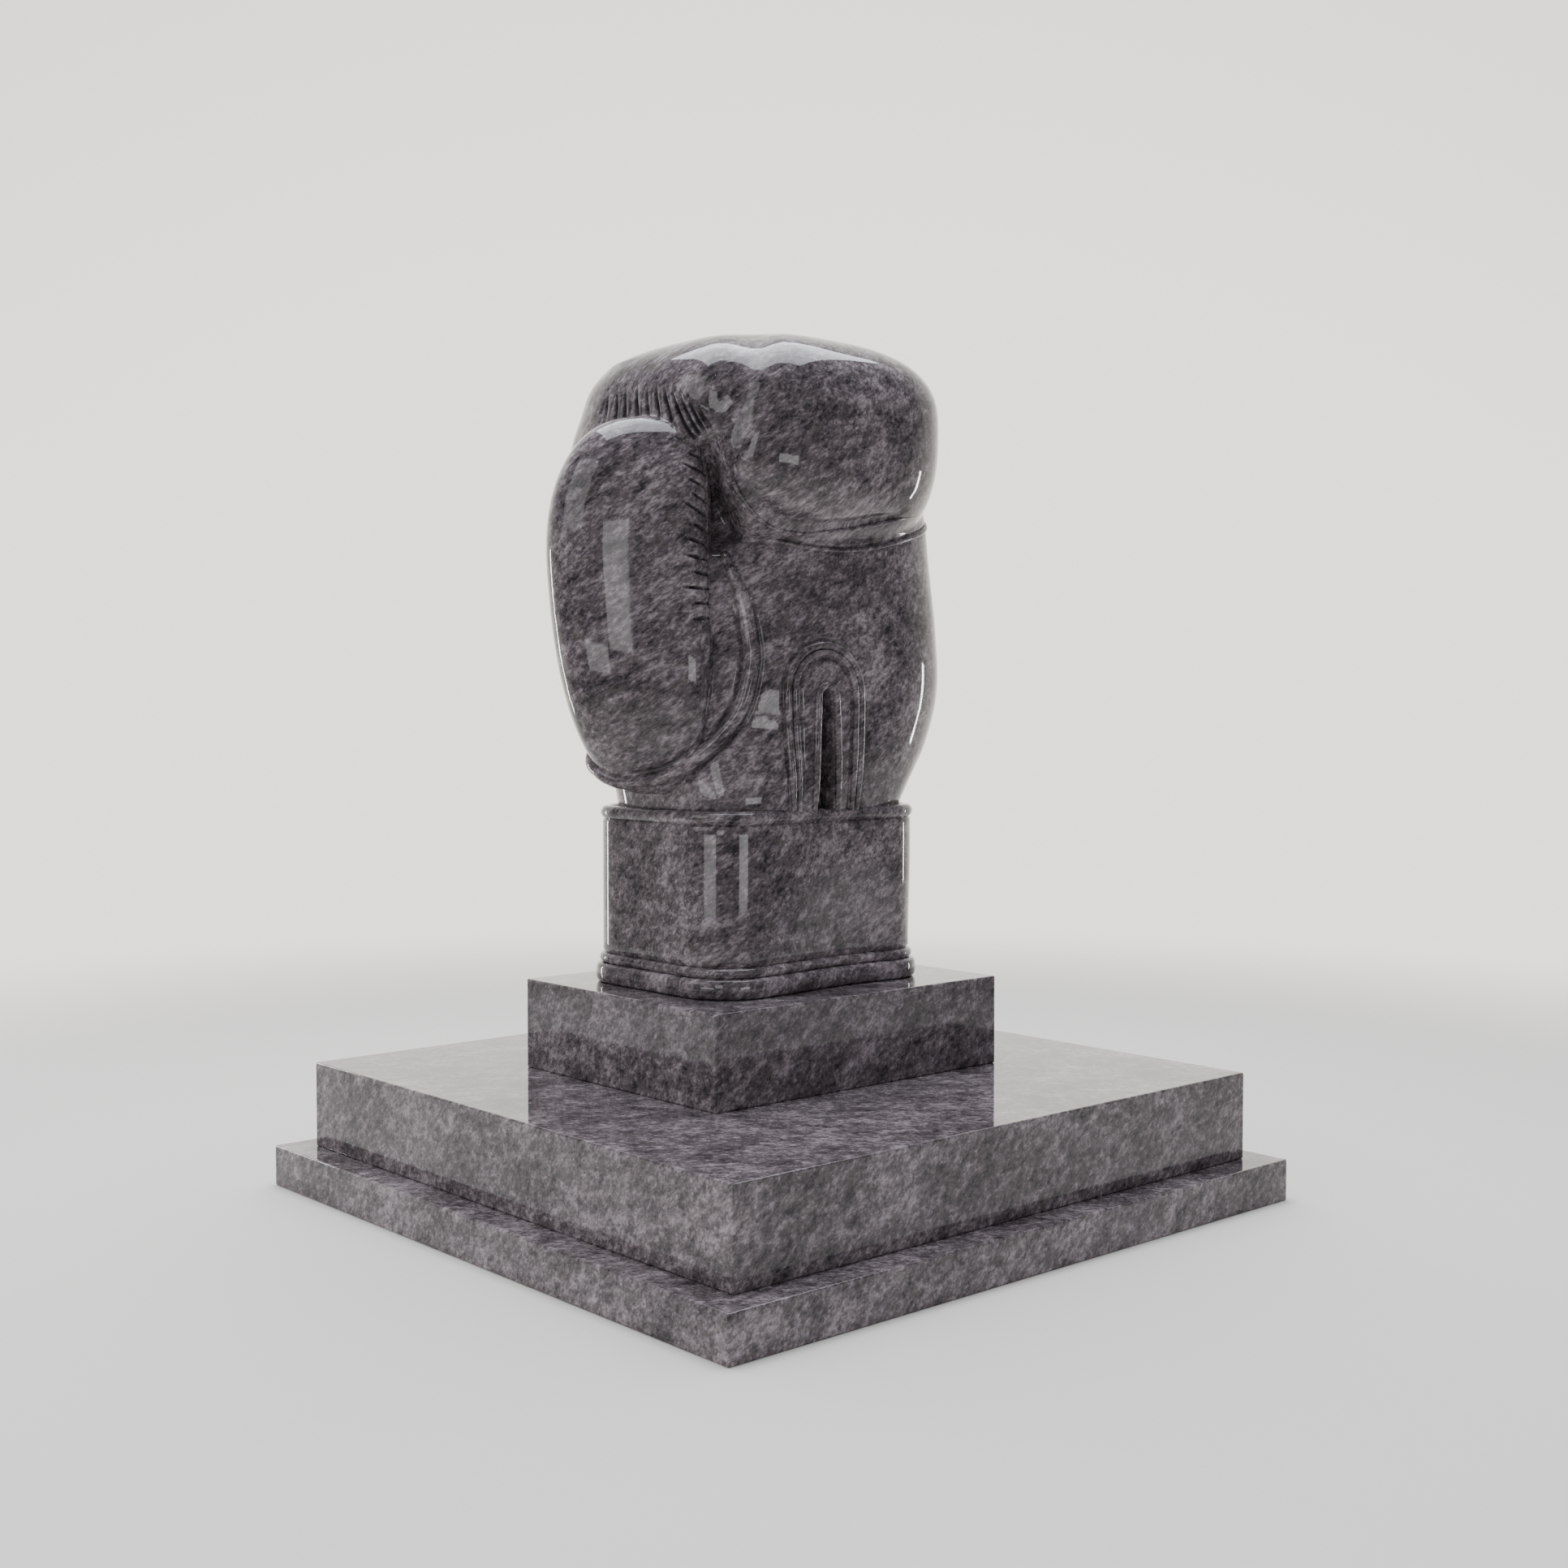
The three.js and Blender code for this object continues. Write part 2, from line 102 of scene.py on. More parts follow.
def eased(points: np.ndarray, steps: int = 8) -> np.ndarray:
    """Smooth curve through points.

    Args:
        points: Points to pass, one a row.
        steps: Steps from each point to the next.

    Returns:
        Points along the curve, one a row.
    """
    padded = np.concatenate([2 * points[:1] - points[1:2], points, 2 * points[-1:] - points[-2:-1]])
    curve = []
    for k in range(1, len(padded) - 2):
        a, b, c, d = padded[k - 1:k + 3]
        for step in range(steps):
            t = step / steps
            bend = (2 * a - 5 * b + 4 * c - d) * t * t + (3 * b - a - 3 * c + d) * t ** 3
            curve.append(0.5 * (2 * b + (c - a) * t + bend))
    curve.append(points[-1])
    return np.array(curve)


def in_scene(mesh: bpy.types.Mesh) -> bpy.types.Object:
    """Put a mesh into the scene as an object of its name.

    Args:
        mesh: The mesh.

    Returns:
        The object.
    """
    piece = bpy.data.objects.new(mesh.name, mesh)
    bpy.context.collection.objects.link(piece)
    return piece


class Wiring:
    """Adds nodes to a tree and feeds them."""

    def __init__(self, tree: bpy.types.NodeTree) -> None:
        """Keep the tree's nodes and links."""
        self.nodes = tree.nodes
        self.links = tree.links

    def feed(self, node: bpy.types.Node, given: dict[str | int, object]) -> None:
        """Feed a node's inputs.

        Args:
            node: The node.
            given: For each input, by its name or number, a socket to link or a value to set.
        """
        for key, source in given.items():
            if isinstance(source, Socket):
                self.links.new(source, node.inputs[key])
            else:
                node.inputs[key].default_value = source

    def add(self, kind: str, given: dict[str | int, object]) -> bpy.types.Node:
        """Add a node of a kind and feed its inputs.

        Args:
            kind: Blender's name of the node type.
            given: For each input, a socket to link or a value to set.

        Returns:
            The node.
        """
        node = self.nodes.new(kind)
        self.feed(node, given)
        return node

    def source(self, kind: str, name: str) -> Socket:
        """Add a node that needs no input and give its output of a name."""
        return self.nodes.new(kind).outputs[name]

    def step(self, kind: str, operation: str, *given: object) -> Socket:
        """Add a step of a math kind.

        Args:
            kind: Blender's name of the node type.
            operation: What the step does.
            given: Sockets or values that go into it, in order.

        Returns:
            The number that comes out.
        """
        node = self.nodes.new(kind)
        node.operation = operation
        self.feed(node, dict(enumerate(given)))
        return node.outputs["Value"]

    def math(self, operation: str, *given: Socket | float) -> Socket:
        """Add a step on numbers and give its result."""
        return self.step("ShaderNodeMath", operation, *given)


class Grain(Enum):
    """Directions in which the stone's pattern is drawn out."""

    ALONG = (1.0, -1.0, 1.1)
    ACROSS = (1.0, -0.7, 0.5)


@dataclass(frozen=True)
class Mottle:
    """One layer of the stone's pattern: repeats per metre, octaves, their strength and its own weight."""

    grain: Grain
    scale: float
    detail: float
    rough: float
    weight: float = 1.0


@dataclass(frozen=True)
class Granite:
    """Mirror-polished dark granite with pale feldspar flecks drawn out along its grain."""

    name: str = "polished_granite"
    dark: Colour = (0.0165, 0.0145, 0.0172)
    middle: Colour = (0.105, 0.0875, 0.0955)
    pale: Colour = (0.37, 0.322, 0.348)
    stops: tuple[float, float, float] = (0.42, 0.50, 0.61)
    olive: Colour = (0.080, 0.070, 0.060)
    olive_span: tuple[float, float] = (0.52, 0.85)
    fleck: Colour = (0.46, 0.43, 0.46)
    fleck_span: tuple[float, float] = (0.73, 0.80)
    shadow: Colour = (0.006, 0.006, 0.007)
    shadow_span: tuple[float, float] = (0.0, 0.8)
    roughness: float = 0.05
    cut_roughness: float = 0.6
    refraction: float = 1.38
    grain_stretch: float = 2.35
    mottles: tuple[Mottle, ...] = (
        Mottle(Grain.ALONG, 400.0, 3.0, 0.65, 0.18),
        Mottle(Grain.ACROSS, 320.0, 3.0, 0.65, 0.13),
        Mottle(Grain.ALONG, 150.0, 4.0, 0.65, 0.27),
        Mottle(Grain.ACROSS, 55.0, 5.0, 0.66, 0.26),
        Mottle(Grain.ALONG, 12.0, 3.0, 0.55, 0.16),
    )
    olive_mottle: Mottle = Mottle(Grain.ACROSS, 90.0, 4.0, 0.65)
    fleck_mottle: Mottle = Mottle(Grain.ACROSS, 520.0, 2.0, 0.5)

    def material(self) -> bpy.types.Material:
        """Build the stone's node material.

        Returns:
            The new material.
        """
        material = bpy.data.materials.new(self.name)
        material.use_nodes = True
        wiring = Wiring(material.node_tree)
        grains = self.drawn_out(wiring)
        mixed: Socket | float = 0.0
        for mottle in self.mottles:
            mixed = wiring.math("MULTIPLY_ADD", self.noise(wiring, grains, mottle), mottle.weight, mixed)
        ramp = wiring.add("ShaderNodeValToRGB", {"Fac": mixed})
        points = ramp.color_ramp.elements
        points.new(self.stops[1])
        for point, spot, tone in zip(points, self.stops, (self.dark, self.middle, self.pale)):
            point.position = spot
            point.color = (*tone, 1.0)
        olive = self.noise(wiring, grains, self.olive_mottle)
        fleck = self.noise(wiring, grains, self.fleck_mottle)
        cut = wiring.nodes.new("ShaderNodeAttribute")
        cut.attribute_name = CARVED
        carved = cut.outputs["Fac"]
        colour = self.laid_over(wiring, ramp.outputs["Color"], self.olive, olive, self.olive_span)
        colour = self.laid_over(wiring, colour, self.fleck, fleck, self.fleck_span)
        # Painted shade: the near-black shadow colour darkens narrow cuts and grooves where light cannot reach.
        # The roughness below is their real unpolished matt.
        colour = self.laid_over(wiring, colour, self.shadow, carved, self.shadow_span)
        dulled = {"Value": carved, "To Min": self.roughness, "To Max": self.cut_roughness}
        matt = wiring.add("ShaderNodeMapRange", dulled).outputs["Result"]
        shader = wiring.nodes["Principled BSDF"]
        wiring.feed(shader, {"IOR": self.refraction, "Base Color": colour, "Roughness": matt})
        return material

    def drawn_out(self, wiring: Wiring) -> dict[Grain, Socket]:
        """Lay out coordinates stretched along each grain.

        Args:
            wiring: The material's wiring.

        Returns:
            The coordinates for each grain.
        """
        place = wiring.source("ShaderNodeTexCoord", "Object")
        grains = {}
        for grain in Grain:
            mapping = wiring.nodes.new("ShaderNodeMapping")
            mapping.vector_type = "TEXTURE"
            turn = Vector(grain.value).to_track_quat("Z", "Y").to_euler()
            wiring.feed(mapping, {"Vector": place, "Rotation": turn, "Scale": (1.0, 1.0, self.grain_stretch)})
            grains[grain] = mapping.outputs["Vector"]
        return grains

    @staticmethod
    def laid_over(wiring: Wiring, under: Socket, over: Colour, value: Socket,
                  span: tuple[float, float]) -> Socket:
        """Lay a colour over another where a value is high.

        Args:
            wiring: The material's wiring.
            under: Colour underneath.
            over: Colour laid over it.
            value: Value that shows the colour.
            span: Values from which it starts and is full.

        Returns:
            The mixed colour.
        """
        limits = {"Value": value, "From Min": span[0], "From Max": span[1]}
        amount = wiring.add("ShaderNodeMapRange", limits).outputs["Result"]
        mix = wiring.add("ShaderNodeMixRGB", {"Fac": amount, "Color1": under, "Color2": (*over, 1.0)})
        return mix.outputs["Color"]

    @staticmethod
    def noise(wiring: Wiring, grains: dict[Grain, Socket], mottle: Mottle) -> Socket:
        """Add a layer of noise.

        Args:
            wiring: The material's wiring.
            grains: Coordinates for each grain.
            mottle: What the layer is like.

        Returns:
            The layer's value.
        """
        sizes = {"Scale": mottle.scale, "Detail": mottle.detail, "Roughness": mottle.rough}
        return wiring.add("ShaderNodeTexNoise", {"Vector": grains[mottle.grain], **sizes}).outputs["Fac"]


@dataclass(frozen=True)
class Block:
    """A sawn and polished block with eased edges, in millimetres."""

    node: str
    width: float
    depth: float
    height: float
    underside: float
    set_back: float = 0.0
    arris: float = 2.2
    arris_steps: int = 3
    flat_area: float = 0.02

    def build(self) -> bpy.types.Object:
        """Make the block's mesh, with its narrow faces along the edges shaded smooth.

        Returns:
            The block's object.
        """
        shape = bmesh.new()
        bmesh.ops.create_cube(shape, size=1.0)
        for vertex in shape.verts:
            vertex.co.x *= self.width * MM
            vertex.co.y = vertex.co.y * self.depth * MM + self.set_back * MM
            vertex.co.z = (vertex.co.z + 0.5) * self.height * MM + self.underside * MM
        bmesh.ops.bevel(shape, geom=shape.edges[:], offset=self.arris * MM, segments=self.arris_steps,
                        profile=0.5, affect="EDGES")
        mesh = bpy.data.meshes.new(f"{self.node}_stone")
        shape.to_mesh(mesh)
        shape.free()
        for face in mesh.polygons:
            face.use_smooth = face.area < self.flat_area
        return in_scene(mesh)


@dataclass(frozen=True)
class Pad:
    """A padded form as a soft box, with its own half size on each side of a centre, in millimetres."""

    centre: Point
    right: float
    left: float
    palm: float
    back: float
    top: float
    bottom: float
    plan: float
    profile: float
    turn: float = 0.0
    lean: float = 0.0
    near_plan: float = 0.0
    top_profile: float = 0.0
    bend: float = 0.0

    def local(self, points: np.ndarray) -> np.ndarray:
        """Turn points into the pad's own axes.

        Args:
            points: Rows of x, y and z.

        Returns:
            The points, straightened from the lean and the bend.
        """
        moved = points - np.array(self.centre)
        cos, sin = math.cos(math.radians(self.turn)), math.sin(math.radians(self.turn))
        x = moved[:, 0] * cos + moved[:, 1] * sin
        y = moved[:, 1] * cos - moved[:, 0] * sin
        rise = moved[:, 2]
        return np.stack([x - self.lean * rise - self.bend * np.maximum(rise, 0.0) ** 2, y, rise], axis=1)

    def distance(self, points: np.ndarray) -> np.ndarray:
        """Distance to the pad's skin.

        Args:
            points: Rows of x, y and z.

        Returns:
            One distance a row, negative inside.
        """
        x, y, z = self.local(points).T
        across = np.abs(x) / np.where(x > 0, self.right, self.left)
        through = np.abs(y) / np.where(y > 0, self.back, self.palm)
        rise = np.abs(z) / np.where(z > 0, self.top, self.bottom)
        power = np.where((x > 0) & (y < 0), self.near_plan or self.plan, self.plan)
        profile = np.where(z > 0, self.top_profile or self.profile, self.profile)
        plan = (across ** power + through ** power) ** (profile / power)
        share = (plan + rise ** profile) ** (1.0 / profile)
        reach = np.sqrt(x * x + y * y + z * z)
        return reach * (1.0 - 1.0 / np.maximum(share, TINY))

    def skin(self, height: float, angle: float) -> np.ndarray:
        """Point of the skin at a height and an angle round the pad.

        Args:
            height: Height of the point.
            angle: Degrees round the pad from its right side, negative towards the palm.

        Returns:
            The point.
        """
        rise = height - self.centre[2]
        share = min(abs(rise) / (self.top if rise > 0 else self.bottom), 1.0)
        profile = self.top_profile if self.top_profile and rise > 0 else self.profile
        swell = (1.0 - share ** profile) ** (1.0 / profile)
        cos, sin = math.cos(math.radians(angle)), math.sin(math.radians(angle))
        power = self.near_plan if self.near_plan and cos > 0 > sin else self.plan
        x = swell * float(signed_power(np.array(cos), 2.0 / power)) * (self.right if cos > 0 else self.left)
        y = swell * float(signed_power(np.array(sin), 2.0 / power)) * (self.back if sin > 0 else self.palm)
        x += self.lean * rise + self.bend * max(rise, 0.0) ** 2
        turn = math.radians(self.turn)
        return np.array([
            self.centre[0] + x * math.cos(turn) - y * math.sin(turn),
            self.centre[1] + x * math.sin(turn) + y * math.cos(turn),
            height,
        ])


@dataclass(frozen=True)
class Hand:
    """The hand between cuff and knuckles: half widths at named heights, in millimetres."""

    heights: tuple[float, ...] = (214, 250, 300, 365, 440, 520, 600, 680, 740)
    right: tuple[float, ...] = (170, 190, 218, 236, 232, 219, 208, 188, 140)
    left: tuple[float, ...] = (166, 171, 177, 182, 185, 188, 190, 184, 130)
    palm: tuple[float, ...] = (134, 141, 150, 157, 158, 157, 153, 138, 100)
    back: tuple[float, ...] = (132, 140, 154, 172, 190, 203, 209, 206, 150)
    power: float = 3.4
    dip_slope: float = 0.26
    dip_from: float = -8.0
    dip_knee: float = 26.0
    dip_full: float = 330.0
    least_palm: float = 20.0
    foot: float = 190.0

    def half(self, values: tuple[float, ...], height: np.ndarray) -> np.ndarray:
        """Smooth curve through the values at the named heights.

        Args:
            values: One half width for each named height.
            height: Heights to read.

        Returns:
            The half widths there.
        """
        keys, given = np.array(self.heights), np.array(values, dtype=float)
        slope = np.gradient(given)
        slope[1:-1] = (given[2:] - given[:-2]) / (keys[2:] - keys[:-2])
        slope[0] = (given[1] - given[0]) / (keys[1] - keys[0])
        slope[-1] = (given[-1] - given[-2]) / (keys[-1] - keys[-2])
        z = np.clip(height, keys[0], keys[-1])
        i = np.clip(np.searchsorted(keys, z, side="right") - 1, 0, len(keys) - 2)
        span = keys[i + 1] - keys[i]
        t = (z - keys[i]) / span
        rise = given[i + 1] - given[i]
        bend = (1 - t) * slope[i] * span - t * slope[i + 1] * span - (1 - 2 * t) * rise
        return given[i] + t * rise + t * (1 - t) * bend

    def distance(self, points: np.ndarray) -> np.ndarray:
        """Distance to the hand's skin.

        Args:
            points: Rows of x, y and z.

        Returns:
            One distance a row, negative inside.
        """
        x, y, z = points.T
        across = np.abs(x) / np.where(x > 0, self.half(self.right, z), self.half(self.left, z))
        past = self.dip_from - x
        dip = self.dip_slope * 0.5 * (past + np.sqrt(past * past + self.dip_knee ** 2))
        palm = self.half(self.palm, z) - dip * smooth_step(self.heights[0], self.dip_full, z)
        through = np.abs(y) / np.where(y > 0, self.half(self.back, z), np.maximum(palm, self.least_palm))
        share = (across ** self.power + through ** self.power) ** (1.0 / self.power)
        side = np.hypot(x, y) * (1.0 - 1.0 / np.maximum(share, TINY))
        return np.maximum(side, np.maximum(self.foot - z, z - self.heights[-1]))


class Cut(Enum):
    """Shape of a carved line across its width."""

    SOFT = "soft"
    CREASE = "crease"
    SLIT = "slit"


@dataclass(frozen=True)
class Chisel:
    """How a line is cut: width, depth, shape across, and lengths over which its start and end fade."""

    width: float
    depth: float
    cut: Cut = Cut.SOFT
    fade_start: float = 0.0
    fade_end: float = 0.0


@dataclass(frozen=True)
class CarvedLine:
    """A line carved into the stone, straight in along one direction where that is given."""

    points: np.ndarray
    chisel: Chisel
    inward: np.ndarray | None = None

    def gaps(self, points: np.ndarray, reach: float) -> tuple[np.ndarray, np.ndarray, np.ndarray]:
        """Measure from the line to the points near it.

        Args:
            points: Rows of x, y and z.
            reach: Distance beyond which points are left out.

        Returns:
            Which points are near, their distance from the line and how far along it they lie.
        """
        low, high = self.points.min(axis=0) - reach, self.points.max(axis=0) + reach
        near = np.nonzero(np.all((points > low) & (points < high), axis=1))[0]
        close = points[near]
        best = np.full(len(near), np.inf)
        along = np.zeros(len(near))
        run = 0.0
        for start, end in zip(self.points[:-1], self.points[1:]):
            length = float(np.linalg.norm(end - start))
            way = (end - start) / max(length, TINY)
            t = np.clip((close - start) @ way, 0.0, length)
            apart = close - start - t[:, None] * way
            if self.inward is not None:
                through = np.clip(apart @ self.inward, -CUT_THROUGH, CUT_THROUGH)
                apart = apart - through[:, None] * self.inward
            gap = np.linalg.norm(apart, axis=1)
            nearer = gap < best
            best = np.where(nearer, gap, best)
            along = np.where(nearer, run + t, along)
            run += length
        return near, best, along

    def offset(self, points: np.ndarray) -> np.ndarray:
        """How far the line sinks the skin at each point.

        Args:
            points: Rows of x, y and z.

        Returns:
            One depth a row.
        """
        chisel = self.chisel
        sunk = np.zeros(len(points))
        reach = chisel.width * CUT_REACH + (0.0 if self.inward is None else CUT_THROUGH)
        near, gap, along = self.gaps(points, reach)
        if len(near) == 0:
            return sunk
        total = np.linalg.norm(np.diff(self.points, axis=0), axis=1).sum()
        strength = np.ones(len(near))
        if chisel.fade_start > 0:
            strength *= smooth_step(0.0, chisel.fade_start, along)
        if chisel.fade_end > 0:
            strength *= smooth_step(0.0, chisel.fade_end, total - along)
        share = gap / chisel.width
        if chisel.cut is Cut.SOFT:
            shape = np.exp(-share * share)
        elif chisel.cut is Cut.SLIT:
            shape = np.exp(-np.abs(share) ** 3)
        else:
            shape = np.exp(-CREASE_FALL * share) - math.exp(-CREASE_FALL * CUT_REACH)
        sunk[near] = chisel.depth * strength * np.maximum(shape, 0.0)
        return sunk

    def wants_finer(self, middles: np.ndarray, lengths: np.ndarray) -> np.ndarray:
        """Tell which mesh edges are too long to carry the line.

        Args:
            middles: Middles of the edges.
            lengths: Lengths of the edges.

        Returns:
            True for each edge to split.
        """
        # An edge near the line is kept where it is about half as long as the cut is wide.
        width = self.chisel.width
        wanted = np.zeros(len(middles), dtype=bool)
        near, gap, _ = self.gaps(middles, width * 2.0 + 6.0)
        long = lengths[near] > max(1.1, 0.6 * width)
        wanted[near] = long & (gap < 0.5 * lengths[near] + 1.5 * width)
        return wanted


@dataclass(frozen=True)
class LaceOpening:
    """The lace opening in the heel of the palm: a welted arch with a slot in it, in millimetres."""

    middle: float = -6.0
    half: float = 56.0
    lean: float = -0.09
    foot: float = 200.0
    lean_from: float = 214.0
    shoulder: float = 362.0
    top: float = 424.0
    inset: float = 14.0
    slot_foot_half: float = 14.0
    slot_top_half: float = 7.0
    slot_top: float = 366.0
    slot_depth: float = 46.0
    leg_steps: int = 8

    def across(self, offset: float, height: float) -> float:
        """Place across the palm at an offset from the opening's leaning middle line."""
        return self.middle + self.lean * (height - self.lean_from) + offset

    def arch(self, inset: float, turns: int = 18) -> Line:
        """Arch outline as places across the palm and heights.

        Args:
            inset: Distance inside the outer welt.
            turns: Steps round the top of the arch.

        Returns:
            The outline from its left foot to its right foot.
        """
        half, rise = self.half - inset, self.top - self.shoulder - inset
        legs = [self.foot + (self.shoulder - self.foot) * k / self.leg_steps for k in range(self.leg_steps)]
        line = [(self.across(-half, height), height) for height in legs]
        for step in range(turns + 1):
            angle = math.pi * (1 - step / turns)
            height = self.shoulder + rise * math.sin(angle)
            line.append((self.across(half * math.cos(angle), height), height))
        line += [(self.across(half, height), height) for height in reversed(legs)]
        return line

    def slot_rim(self, beyond: float, turns: int = 12) -> Line:
        """Outline of the slot, as places across the palm and heights.

        Args:
            beyond: Distance outside the slot's edge.
            turns: Steps round the head of the slot.

        Returns:
            The outline from its left foot to its right foot.
        """
        head = self.slot_top - self.slot_top_half
        legs = np.linspace(self.foot, head, self.leg_steps)
        halves = np.interp(legs, (self.lean_from, head), (self.slot_foot_half, self.slot_top_half)) + beyond
        line = [(self.across(-half, height), height) for half, height in zip(halves, legs)]
        for step in range(1, turns):
            angle = math.pi * (1 - step / turns)
            half = self.slot_top_half + beyond
            height = head + half * math.sin(angle)
            line.append((self.across(half * math.cos(angle), height), height))
        line += [(self.across(half, height), height) for half, height in reversed(list(zip(halves, legs)))]
        return line

    def slot_distance(self, points: np.ndarray, palm: float) -> np.ndarray:
        """Distance to the tapered slot.

        Args:
            points: Rows of x, y and z.
            palm: Depth of the palm's skin from the middle of the hand.

        Returns:
            One distance a row, negative inside the slot.
        """
        x, y, z = points.T
        head = self.slot_top - self.slot_top_half
        share = np.clip((z - self.lean_from) / (head - self.lean_from), 0.0, 1.0)
        half = self.slot_foot_half + (self.slot_top_half - self.slot_foot_half) * share
        middle = self.middle + self.lean * (z - self.lean_from)
        over = np.maximum(z - head, 0.0)
        side = np.hypot(x - middle, over) - half
        return np.maximum(side, np.maximum(y + palm - self.slot_depth, self.foot - z))


@dataclass
class Glove:
    """The glove above its cuff, as one carved skin, in millimetres.

    A route is a row of places across the view of the thumb's corner, each with its height.
    """

    hand: Hand = Hand()
    knuckles: Pad = Pad(centre=(4, 0, 692), right=203, left=198, palm=202, back=210, top=112, bottom=180,
                        plan=2.9, profile=2.7)
    thumb: Pad = Pad(centre=(-194.16, 1.21, 502), right=95, left=104, palm=80, back=90, top=190, bottom=262,
                     plan=2.5, profile=2.45, turn=-41.6, lean=-0.07, near_plan=4.2, top_profile=3.0,
                     bend=0.0009)
    lace: LaceOpening = LaceOpening()

    fold_fillet: float = 5.0
    back_fillet: float = 50.0
    back_fillet_span: tuple[float, float] = (-60.0, 90.0)
    thumb_fillet: float = 3.0
    pinch_fillet: float = 6.0
    pinch_reach: float = 16.0
    pinch_spot: Point = (-56.0, 188.0, 650.0)
    slot_edge: float = 5.0
    roll_end: tuple[float, float] = (-47.0, 654.0)
    roll_end_slope: float = 65.0
    roll_end_tilt: float = 0.32
    roll_end_front: float = 205.0
    roll_end_depth: float = 40.0
    roll_end_round: float = 8.0
    roll_end_brow: float = 4.0

    roll_fold: Line = ((-43, 651), (-34, 638), (-27, 628), (-14, 608), (-5, 593), (4, 583), (22, 571),
                       (41, 564), (76, 560), (112, 565), (150, 574), (185, 585))
    roll_edge: Line = ((-46, 655), (-38, 637), (-31, 620), (-24, 603), (-15, 588), (2, 568), (21, 556),
                       (54, 551), (84, 554), (113, 559), (142, 566), (172, 575), (198, 583))
    thumb_edge: Line = ((-74, 672), (-66, 656), (-60, 629), (-57, 590), (-56, 552), (-55, 513), (-53, 474),
                        (-52, 435), (-53, 386), (-59, 337))
    piping: Line = ((-44, 540), (-34, 517), (-16, 474), (-7, 429), (-5, 398), (-15, 351), (-34, 320),
                    (-73, 284), (-110, 263), (-150, 256))
    piping_half: float = 10.0
    piping_under: Line = ((259, -140), (268, -165), (284, -190))
    piping_sweep: tuple[float, float, float] = (-150.0, -260.0, -2.0)
    piping_behind: float = -180.0
    piping_outer: tuple[float, ...] = (330.0, 380.0, 430.0, 480.0, 530.0)
    cleft_spots: tuple[Point, ...] = ((-54, 126, 648), (-48, 128, 610), (-43, 133, 575), (-37, 141, 540),
                                      (-30, 150, 508))
    star: tuple[Line, ...] = (((-51, 656), (-63, 677), (-70, 699)), ((-52, 660), (-48, 673), (-43, 687)),
                              ((-47, 654), (-36, 663), (-26, 675)))
    pit_route: Line = ((-54, 656), (-47, 654))
    valley_front: Line = ((-50, 656), (-36, 676), (-22, 708), (-14, 742), (-8, 766))
    valley_over: tuple[Point, ...] = ((-4, 130, 1000), (-2, 95, 1000), (0, 60, 1000))

    gather_count: int = 14
    gather_top: float = 671.0
    gather_drop: float = 221.0
    gather_length: float = 27.0
    gather_vary: float = 7.0
    gather_beat: float = 2.4
    gather_steps: int = 5
    gather_shares: tuple[float, ...] = (0.0, 0.15, 0.45, 0.7, 1.0)
    gather_slopes: tuple[float, ...] = (10.0, 18.0, 32.0, 10.0, -6.0)
    knuckle_tops: Line = ((62, 738), (41, 738), (24, 737), (1, 736), (-19, 734), (-36, 732), (-50, 728),
                          (-63, 724), (-76, 720), (-90, 711))
    knuckle_feet: tuple[float, ...] = (60, 37, 20, -6, -28, -52, -80, -102, -111, -117)
    knuckle_foot: float = 652.0
    knuckle_sweep: float = 0.65
    knuckle_vary: float = 8.0
    knuckle_beat: float = 1.9
    knuckle_steps: int = 6
    welt_low: float = 534.0
    welt_rise: float = 0.011
    welt_middle: float = -95.0
    welt_ends: tuple[float, float] = (-138.0, -10.0)
    welt_steps: int = 40
    welt_groove_raised: float = 3.5
    arch_groove_insets: tuple[float, float] = (-1.5, 18.5)

    cleft_hollow: Chisel = Chisel(46.0, 60.0, Cut.SOFT, 30.0, 60.0)
    piping_groove: Chisel = Chisel(3.6, 8.0, Cut.SOFT, 30.0, 20.0)
    seam_slit: Chisel = Chisel(1.8, 5.0, Cut.SLIT)
    thumb_slit: Chisel = Chisel(1.6, 6.0, Cut.SLIT, 0.0, 14.0)
    thumb_pucker: Chisel = Chisel(6.0, 2.2, Cut.SOFT, 0.0, 22.0)
    knuckle_slit: Chisel = Chisel(2.0, 4.5, Cut.SLIT, 0.0, 28.0)
    knuckle_pucker: Chisel = Chisel(5.5, 3.6, Cut.SOFT, 0.0, 44.0)
    star_slit: Chisel = Chisel(2.4, 7.0, Cut.SLIT, 0.0, 18.0)
    star_pucker: Chisel = Chisel(6.5, 4.5, Cut.SOFT, 0.0, 26.0)
    fold_crease: Chisel = Chisel(3.4, 6.0, Cut.CREASE, 4.0, 60.0)
    fold_hollow: Chisel = Chisel(8.0, 5.0, Cut.SOFT, 4.0, 70.0)
    pit: Chisel = Chisel(9.0, 12.0)
    valley: Chisel = Chisel(26.0, 15.0, Cut.SOFT, 0.0, 120.0)
    welt_groove: Chisel = Chisel(2.2, 3.0, Cut.SOFT, 12.0, 40.0)
    arch_groove: Chisel = Chisel(2.4, 3.2)
    # Painted shade in cuts: lines narrower than narrow get it, grooves at groove_shade strength, faded in over
    # shade_depths.
    narrow: float = 4.5
    groove_shade: float = 0.75
    shade_depths: tuple[float, float] = (1.0, 3.6)

    grid: float = 8.0
    quick_grid: float = 10.0
    low_corner: Point = (-330.0, -240.0, 180.0)
    high_corner: Point = (270.0, 250.0, 824.0)
    refine_turns: tuple[float, ...] = (0.985, 0.975, 0.965)
    refine_off: float = 0.35
    shortest_edge: float = 1.8
    least_slope: float = 0.2
    longest_move: float = 4.0
    round_start: float = 420.0
    palm_start: float = 400.0
    side_start: float = 330.0
    corner_start: float = 450.0
    corner_reach: float = 700.0

